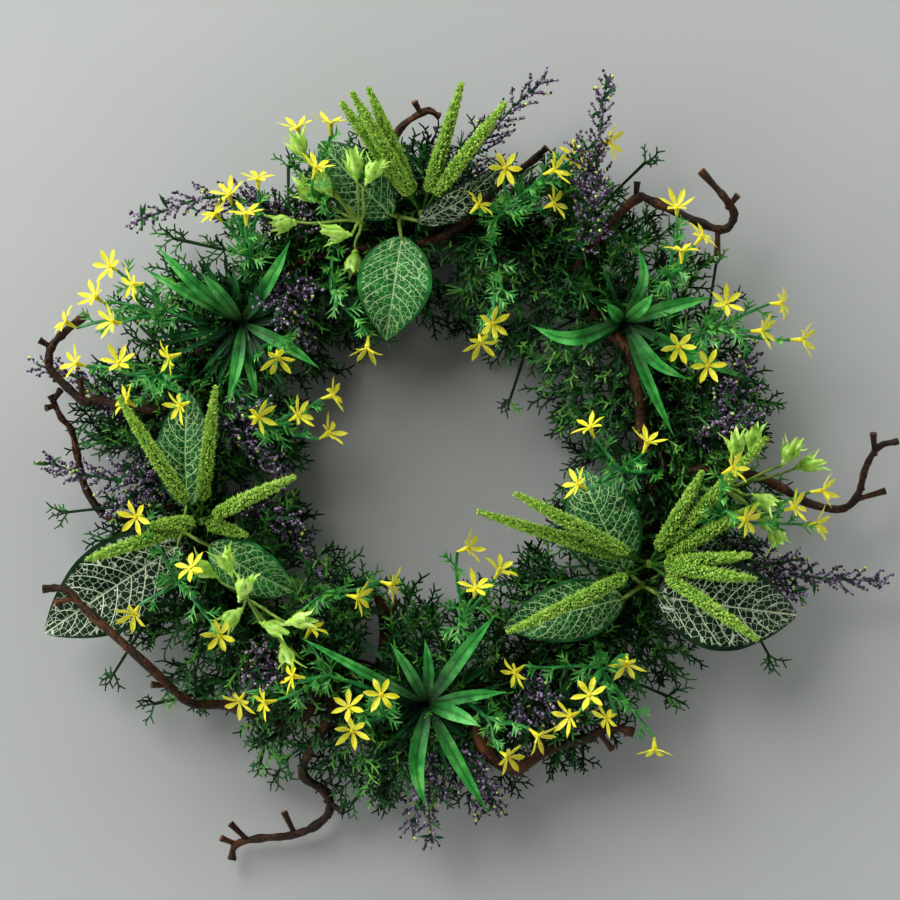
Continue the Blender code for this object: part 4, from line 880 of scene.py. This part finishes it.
def dillLeaf(bunch, base, way, length):  # a short stalk and pointed tines, spread like a hand
    flat = way.cross(up + way * 0.3).normalized()
    flat = (flat + up * draw.uniform(-0.4, 0.4)).normalized()
    end = base + way * length
    addStroke(bunch, [base, end], dill["stalk"], dill["look"])
    for t, spread, share in dill["tines"]:
        foot = base.lerp(end, t)
        for turn in (-1, 1):
            lean = (way + flat * turn * spread + up * draw.uniform(-0.15, 0.3)).normalized()
            reach = length * share * draw.uniform(0.85, 1.15)
            addStroke(bunch, [foot, foot + lean * reach], dill["tine"], dill["look"])


def leafStem(bunch, route, spacing, size):  # dill leaflets by turns along a stem
    travelled, turn = 0.0, draw.uniform(0, 360)
    for a, b in zip(route, route[1:]):
        travelled += (b - a).length
        if travelled > spacing * mm:
            travelled = 0.0
            turn += stemTurn
            angle = math.radians(turn)
            along = (b - a).normalized()
            side = along.cross(up).normalized()
            if side.length < 0.5:
                side = Vector((1, 0, 0))
            outward = (side * math.cos(angle) + side.cross(along) * abs(math.sin(angle))).normalized()
            dillLeaf(bunch, a, (outward + along * 0.7).normalized(), draw.uniform(*size) * mm)


for name, node, bunch, (spot, forks) in plants(starSprays, "star_spray_"):
    root = onVine(spot)
    for fork, heads in forks:
        forkAt = findFork(node, fork)
        route = addStem(bunch, node, [root, root + up * 8 * mm], forkAt, 1.8, 1.5, 7, 2)
        leafStem(bunch, route[4:], 6, (12, 20))
        for _ in range(4):
            dillLeaf(bunch, forkAt, anyWay(5, 50), draw.uniform(13, 19) * mm)
        for x, y, z, azimuth, elevation in heads:
            facing = heading(azimuth, elevation)
            lifts = (0, 4, -4, 8, -8, 12, -12, 16, 20, 26, 32)
            throat = min((at((x, y, z + lift)) for lift in lifts),
                         key=lambda p: offCorner(node, p + facing * 1.4 * mm))
            route = addStem(bunch, node, [forkAt], throat - facing * star["funnel"] * mm, 1.4, 1.15, 7, 2)
            leafStem(bunch, route, 8, (11, 18))
            starHead(bunch, throat, facing)
    makePiece("starSpray." + name, bunch, [petalYellow, throatYellow, starStem, dillGreen], [node])
print("star flowers made")


# lavender: where each spray stands, then the route of each stem

lavenderSprays = {
    "top_left": ((-100, 156), [[(-112, 182, 50), (-160, 198, 56), (-223, 180, 46)]]),
    "upper": ((14, 180), [[(22, 212, 54), (56, 258, 58), (86, 286, 56)]]),
    "upper_right": ((104, 152), [[(120, 184, 56), (126, 236, 62), (132, 285, 62)]]),
    "inner_top_left": ((-116, 138), [[(-106, 120, 56), (-94, 88, 50)]]),
    "inner_left": ((-172, 20), [[(-146, 20, 52), (-120, 4, 52), (-112, -16, 50)]]),
    "left": ((-188, -14), [[(-214, -18, 50), (-254, -12, 50), (-290, -2, 46)]]),
    "inner_low": ((-158, -52), [[(-130, -38, 46), (-104, -52, 42), (-84, -86, 40)]]),
    "left_up": ((-190, 10), [[(-222, 24, 34), (-262, 60, 30), (-298, 72, 26)]]),
    "right": ((182, 28), [[(206, 20, 50), (230, 48, 54), (240, 88, 54)]]),
    "far_right": ((176, -62), [[(222, -76, 46), (284, -88, 44), (344, -92, 40)]]),
    "bottom_left": ((-112, -146), [[(-122, -152, 52), (-136, -160, 62)]]),
    "bottom": ((10, -192), [[(8, -220, 44), (-10, -266, 38)], [(24, -224, 46), (46, -254, 40)]]),
    "bottom_right": ((66, -168), [[(76, -184, 50), (104, -200, 52)]]),
}
lavender = {
    "bead": (1.05, 1.5), "beadEvery": 1.2, "limeShare": 0.05, "lilacShare": 0.45,
    "twig": (11, 19), "twigEvery": 3.1, "stroke": [0.6, 0.5, 0.35], "leafGap": 2.4,
    "bare": {"bottom": 0.5},  # share of the stem without twigs, 0.26 on the others
    "past": {"bottom": 15},  # mm that the stems run on past their last stop
    "sideStems": {"inner_left": 5, "left": 4, "right": 4, "inner_top_left": 4, "bottom_left": 3, "bottom": 3,
                  "far_right": 4, "top_left": 3, "upper_right": 3, "bottom_right": 3},  # 2 on the others
}
golden = (1 + 5 ** 0.5) / 2
beadCorners = unit(np.array([p for a in (-1, 1) for b in (-golden, golden)
                             for p in ((0, a, b), (a, b, 0), (b, 0, a))], float))
beadFaces = [[i, j, k] for i in range(12) for j in range(12) for k in range(12)
             if i < j and i < k and np.dot(np.cross(beadCorners[i], beadCorners[j]), beadCorners[k]) > 0
             and all(np.dot(beadCorners[a], beadCorners[b]) > 0.4 for a, b in ((i, j), (j, k), (k, i)))]
leafNodes = ["strap_tuft_" + name for name in strapTufts] + ["leaf_plant_" + name for name in leafPlants]


def addBeads(bunch, beads):
    for look in sorted({bead[2] for bead in beads}):
        mine = [bead for bead in beads if bead[2] == look]
        centres = asArray([centre for centre, _, _ in mine])[:, None]
        radii = np.array([radius for _, radius, _ in mine])[:, None, None]
        starts = np.arange(len(mine))[:, None, None] * 12
        addTo(bunch, centres + radii * beadCorners, [(starts + np.array(beadFaces)).reshape(-1, 3)], look)


def clearOfLeaves(spot):
    return all(offSurface(node, spot) > lavender["leafGap"] * mm for node in leafNodes)


def beadStem(bunch, beads, route, size, bare):  # a stem with beaded side twigs all round it
    addTube(bunch, route, size * 1.7, size * 0.9, 7, 3)
    lengths = np.cumsum([0] + [(b - a).length for a, b in zip(route, route[1:])])
    total = lengths[-1]
    place, turn = total * bare, draw.uniform(0, 360)
    while place < total:
        i = min(int(np.searchsorted(lengths, place)), len(route) - 1)
        base, along = route[i - 1], (route[i] - route[i - 1]).normalized()
        base = base + along * (place - lengths[i - 1])
        side = along.cross(up).normalized()
        turn += stemTurn + draw.uniform(-20, 20)
        outward = side * math.cos(math.radians(turn)) + side.cross(along) * math.sin(math.radians(turn))
        if outward.z < -0.5:
            outward.z *= 0.3
        taper = 1.15 - 0.6 * max(0, place / total - 0.35) / 0.65
        length = draw.uniform(*lavender["twig"]) * size * mm * taper
        way = (outward + along * draw.uniform(0.5, 1.0)).normalized()
        end = base + (way + along * 0.3) * length
        middle = base.lerp(end, 0.5) + (up * 0.8 - along) * mm
        addStroke(bunch, [base, middle, end], lavender["stroke"])
        count = int(length / (lavender["beadEvery"] * mm))
        for k in range(count):
            t = 0.16 + 0.88 * k / max(count - 1, 1)
            spot = base.lerp(middle, t * 2) if t < 0.5 else middle.lerp(end, t * 2 - 1)
            off = Vector([draw.gauss(0, 1) for _ in range(3)]).normalized()
            spot = spot + off * draw.uniform(0.6, 1.9) * mm
            look = 2 if draw.random() < lavender["limeShare"] else int(draw.random() < lavender["lilacShare"])
            radius = draw.uniform(*lavender["bead"]) * mm
            if clearOfLeaves(spot):
                beads.append((spot, radius, look))
        place += lavender["twigEvery"] * mm * draw.uniform(0.7, 1.3)
    for _ in range(int(total / (12 * mm))):  # flat narrow leaves
        i = draw.randrange(3, len(route) - 1)
        strapBlade(bunch, route[i], route[i] + anyWay(0, 50) * draw.uniform(9, 16) * mm, 2.6, 3, 3, 4)


for name, node, bunch, (spot, routes) in plants(lavenderSprays, "lavender_spray_"):
    root, beads = onVine(spot), []
    bare = lavender["bare"].get(name, 0.26)
    for stops in routes:
        spots = [at(p) for p in stops]
        lift = min((0, 4, -4, 8, -8, 12, 16, -12, 22),
                   key=lambda l: sum(offCorner(node, p + up * l * mm, 1.3) for p in spots))
        spots = [p + up * lift * mm for p in spots]
        spots[-1] += (spots[-1] - spots[-2]).normalized() * lavender["past"].get(name, 0) * mm
        route = smoothRoute([root, root + up * 6 * mm, *spots], 10)
        beadStem(bunch, beads, route, 1.0, bare)
        for k in range(lavender["sideStems"].get(name, 2)):  # shorter stems that leave the main one
            i = int(len(route) * draw.uniform(bare + 0.02, bare + 0.36))
            along = (route[i] - route[i - 1]).normalized()
            side = along.cross(up).normalized() * (1 if k % 2 else -1)
            way = (along + side * draw.uniform(0.35, 0.8) + up * draw.uniform(-0.1, 0.25)).normalized()
            end = route[i] + way * (draw.uniform(26, 46) * mm) + along * 6 * mm
            beadStem(bunch, beads, arch(route[i], end, 5, np.linspace(0, 1, 9)), 0.72, 0.12)
    addBeads(bunch, beads)
    looks = [beadViolet, beadLilac, beadLime, lavenderTwig]
    makePiece("lavenderSpray." + name, bunch, looks, [node])
print("lavender made")


# the greens: forked sprigs on the frame's own fronds, and more fronds between them

greens = {
    "fronds": 54, "frond": 1.1, "spread": (-13, 13), "inner": 104, "everySprig": 4.7, "sprig": (10, 19),
    "tine": (3.4, 7.2), "thickness": 0.86, "needleFrom": 32, "needleTo": 84, "needle": [0.55, 0.3],
    "outer": [262, 256, 260, 252, 250, 242, 246, 246, 236, 250, 248, 270, 272, 264, 268, 262, 256, 262, 262,
              258, 252, 246, 252, 258, 262],  # mm from the ring's centre, every 15 degrees
}


def readFrond(node):  # the ribs and needles of a frame solid, as lists of point pairs
    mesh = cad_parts[node].data
    places, index = np.unique(np.round(asArray(v.co for v in mesh.vertices), 5), axis=0, return_inverse=True)
    index = index.reshape(-1)
    edges = {tuple(sorted((index[e.vertices[0]], index[e.vertices[1]]))) for e in mesh.edges}
    near = {}
    for a, b in edges:
        if a != b:
            near.setdefault(a, set()).add(b)
            near.setdefault(b, set()).add(a)

    def apart(a, b):
        return np.linalg.norm(places[a] - places[b])

    far = {v for v, others in near.items() if all(apart(v, other) > 8 * mm for other in others)}
    group = {}
    for v in near:
        if v in far or v in group:
            continue
        group[v] = len(group)
        queue = [v]
        while queue:
            here = queue.pop()
            for other in near[here]:
                if other not in far and other not in group and apart(here, other) < 4.5 * mm:
                    group[other] = group[v]
                    queue.append(other)
    centres = {}
    for v, g in group.items():
        centres.setdefault(g, []).append(places[v])
    centres = {g: Vector(np.mean(members, axis=0)) for g, members in centres.items()}
    ribs = {tuple(sorted((group[a], group[b]))) for a, b in edges
            if a in group and b in group and group[a] != group[b]}
    needles = []
    for v in sorted(far):
        feet = [centres[group[o]] for o in near[v] if o in group]
        if feet:
            needles.append((feet[0], Vector(places[v])))
    return [(centres[a], centres[b]) for a, b in sorted(ribs)], needles


def sprig(bunch, base, way, length, look, thickness=greens["thickness"]):  # stiff, forked like an antler
    flat = way.cross(Vector((draw.uniform(-0.6, 0.6), draw.uniform(-0.6, 0.6), 1))).normalized()
    bend = flat * draw.uniform(-0.12, 0.12) * length
    end = base + way * length
    middle = base.lerp(end, 0.5) + bend

    def thin(*shares):
        return [thickness * share for share in shares]

    addStroke(bunch, [base, middle, end], thin(1, 0.9, 0.72), look)
    side = draw.choice((-1, 1))
    for t in (0.34, 0.58, 0.8):
        foot = base.lerp(middle, t * 2) if t < 0.5 else middle.lerp(end, t * 2 - 1)
        lean = (way * draw.uniform(0.6, 1.1) + flat * side + up * draw.uniform(-0.25, 0.35)).normalized()
        reach = draw.uniform(*greens["tine"]) * mm * min(1.0, length / (14 * mm))
        addStroke(bunch, [foot, foot + lean * reach], thin(0.85, 0.6), look)
        side = -side
    lean = (way * 1.1 + flat * side * draw.uniform(0.5, 0.9)).normalized()
    addStroke(bunch, [end - way * mm, end + lean * draw.uniform(2.4, 5) * mm], thin(0.8, 0.55), look)


def needleTuft(bunch, base, way, length, look):  # thin straight needles, as on rosemary
    for _ in range(6):
        lean = (way + Vector([draw.uniform(-0.75, 0.75) for _ in range(3)])).normalized()
        addStroke(bunch, [base, base + lean * length * draw.uniform(0.6, 1.0)], greens["needle"], look)


def pickShadeByHeight(height):  # painted shade and light: darker greens low down, brighter ones on top, with a random share
    chance = draw.random() + (height - 0.038) * 12
    return 0 if chance < 0.42 else (1 if chance < 0.85 else 2)


def growFrond(bunch, route, grow):
    width = greens["frond"]
    addStroke(bunch, route, evenly(width, width * 0.55, len(route)), pickShadeByHeight(route[-1].z), 5)
    travelled, turn = 0.0, draw.uniform(0, 360)
    for a, b in zip(route, route[1:]):
        travelled += (b - a).length
        while travelled > greens["everySprig"] * mm:
            travelled -= greens["everySprig"] * mm
            along = (b - a).normalized()
            side = along.cross(up).normalized()
            turn += stemTurn
            angle = math.radians(turn)
            outward = side * math.cos(angle) + side.cross(along) * abs(math.sin(angle)) * 0.8
            way = (outward + along * draw.uniform(0.5, 1.0)).normalized()
            base = a.lerp(b, draw.random())
            grow(bunch, base, way, draw.uniform(*greens["sprig"]) * mm, pickShadeByHeight(base.z))


for sector in range(10):
    node = f"fern_{sector + 1}"
    bunch = newBunch()
    ribs, needles = readFrond(node)
    for a, b in ribs:
        # the frame's ribs all take the dark green that paints the shade low in the wreath
        addStroke(bunch, [a, a.lerp(b, 0.5) - up * 0.5 * mm, b], [1.3, 1.1, 1.0], 0, 6)
    for base, tip in needles:
        sprig(bunch, base, (tip - base).normalized(), (tip - base).length * 0.85, pickShadeByHeight(tip.z), 0.8)
    for number in range(greens["fronds"]):
        angle = 36 * (sector + (number + draw.random()) / greens["fronds"])
        needled = greens["needleFrom"] < angle < greens["needleTo"] and draw.random() < 0.55
        seat = draw.uniform(*greens["spread"])
        root = onVine((heading(angle, 0) * (vine["radius"] + seat))[:2], 1)
        aim = angle + draw.uniform(-14, 14)
        outer = float(np.interp(aim % 360, np.arange(25) * 15, greens["outer"]))
        if number % 3 == 0:
            reach = greens["inner"] + draw.uniform(-6, 34)
        else:
            reach = outer - 58 * draw.random() ** 1.5
        if number % 7 == 3:
            reach = vine["radius"] + draw.uniform(-30, 30)
            aim = angle + draw.choice((-1, 1)) * draw.uniform(10, 22)
        tip = at((*(heading(aim, 0) * reach)[:2], draw.uniform(6, 46)))
        route = arch(root, tip, draw.uniform(12, 40), np.linspace(0, 1, 7), draw.uniform(-10, 10))
        growFrond(bunch, route, needleTuft if needled else sprig)
    makePiece(f"fern.{sector + 1}", bunch, [fernDarkShaded, fernMid, fernBrightLit], [node])
print("greens made")


# floor, light and camera: straight down on the laid wreath, lit softly from the upper left

def floorPaper():  # matt paper backdrop: even grey with faint mottling
    material, shader = newMaterial("mattPaper")
    place = addNode(material, "ShaderNodeTexCoord"), "Object"
    colour = ramp(material, noise(material, 1000 / 3, place, 3.0), ["#B2B3B2", "#B7B7B7"], (0.3, 0.7))
    link(material, *colour, shader, "Base Color")
    setInputs(shader, {"Roughness": 0.9})
    return material


bpy.ops.mesh.primitive_plane_add(size=40, location=(0, 0, 0))
floor = bpy.context.object
floor.name = "floor"
floor.data.materials.append(floorPaper())

view = {"distance": 2.4, "width": 0.675, "level": 0.06, "offset": (15, 7.5), "sensor": 36}
aim = at((*view["offset"], 0))
camera = bpy.data.objects.new("camera", bpy.data.cameras.new("camera"))
bpy.context.scene.collection.objects.link(camera)
camera.data.sensor_width = view["sensor"]
camera.data.lens = view["sensor"] * (view["distance"] - view["level"]) / view["width"]
camera.location = (aim.x, aim.y, view["distance"])
bpy.context.scene.camera = camera

lamp = {"spot": (-1.5, 1.67, 1.85), "size": 1.7, "power": 51}
keyLight = bpy.data.objects.new("keyLight", bpy.data.lights.new("keyLight", "AREA"))
keyLight.data.size, keyLight.data.energy = lamp["size"], lamp["power"]
bpy.context.scene.collection.objects.link(keyLight)
keyLight.location = lamp["spot"]
keyLight.rotation_euler = (-Vector(lamp["spot"])).to_track_quat("-Z", "Y").to_euler()

world = bpy.data.worlds.new("studio")
world.use_nodes = True
direction = addNode(world, "ShaderNodeTexCoord"), "Generated"
sky = addNode(world, "ShaderNodeSeparateXYZ", links={"Vector": direction})
bands = ramp(world, (sky, "Z"), ["#6E6E6E", "#7A7A7A", "#FAFFFB", "#EFF4F0", "#222222", "#0C0C0C"],
             (0.0, 0.07, 0.17, 0.36, 0.54, 1.0))
backdrop = world.node_tree.nodes["Background"]
link(world, *bands, backdrop, "Color")
leftward = addNode(world, "ShaderNodeVectorMath", {1: (-0.67, 0.74, 0.0)}, {0: direction},
                   operation="DOT_PRODUCT")
link(world, *maths(world, "MULTIPLY_ADD", (leftward, "Value"), 1.5, 3.25), backdrop, "Strength")
bpy.context.scene.world = world
bpy.context.scene.view_settings.view_transform = "Standard"
bpy.context.scene.view_settings.look = "Medium High Contrast"

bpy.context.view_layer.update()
for kind in sorted({name.split(".")[0] for name in triangles}):
    print(kind, sum(count for name, count in triangles.items() if name.split(".")[0] == kind))
most = max(triangles, key=triangles.get)
print("triangles", sum(triangles.values()), "most in a piece", most, triangles[most])
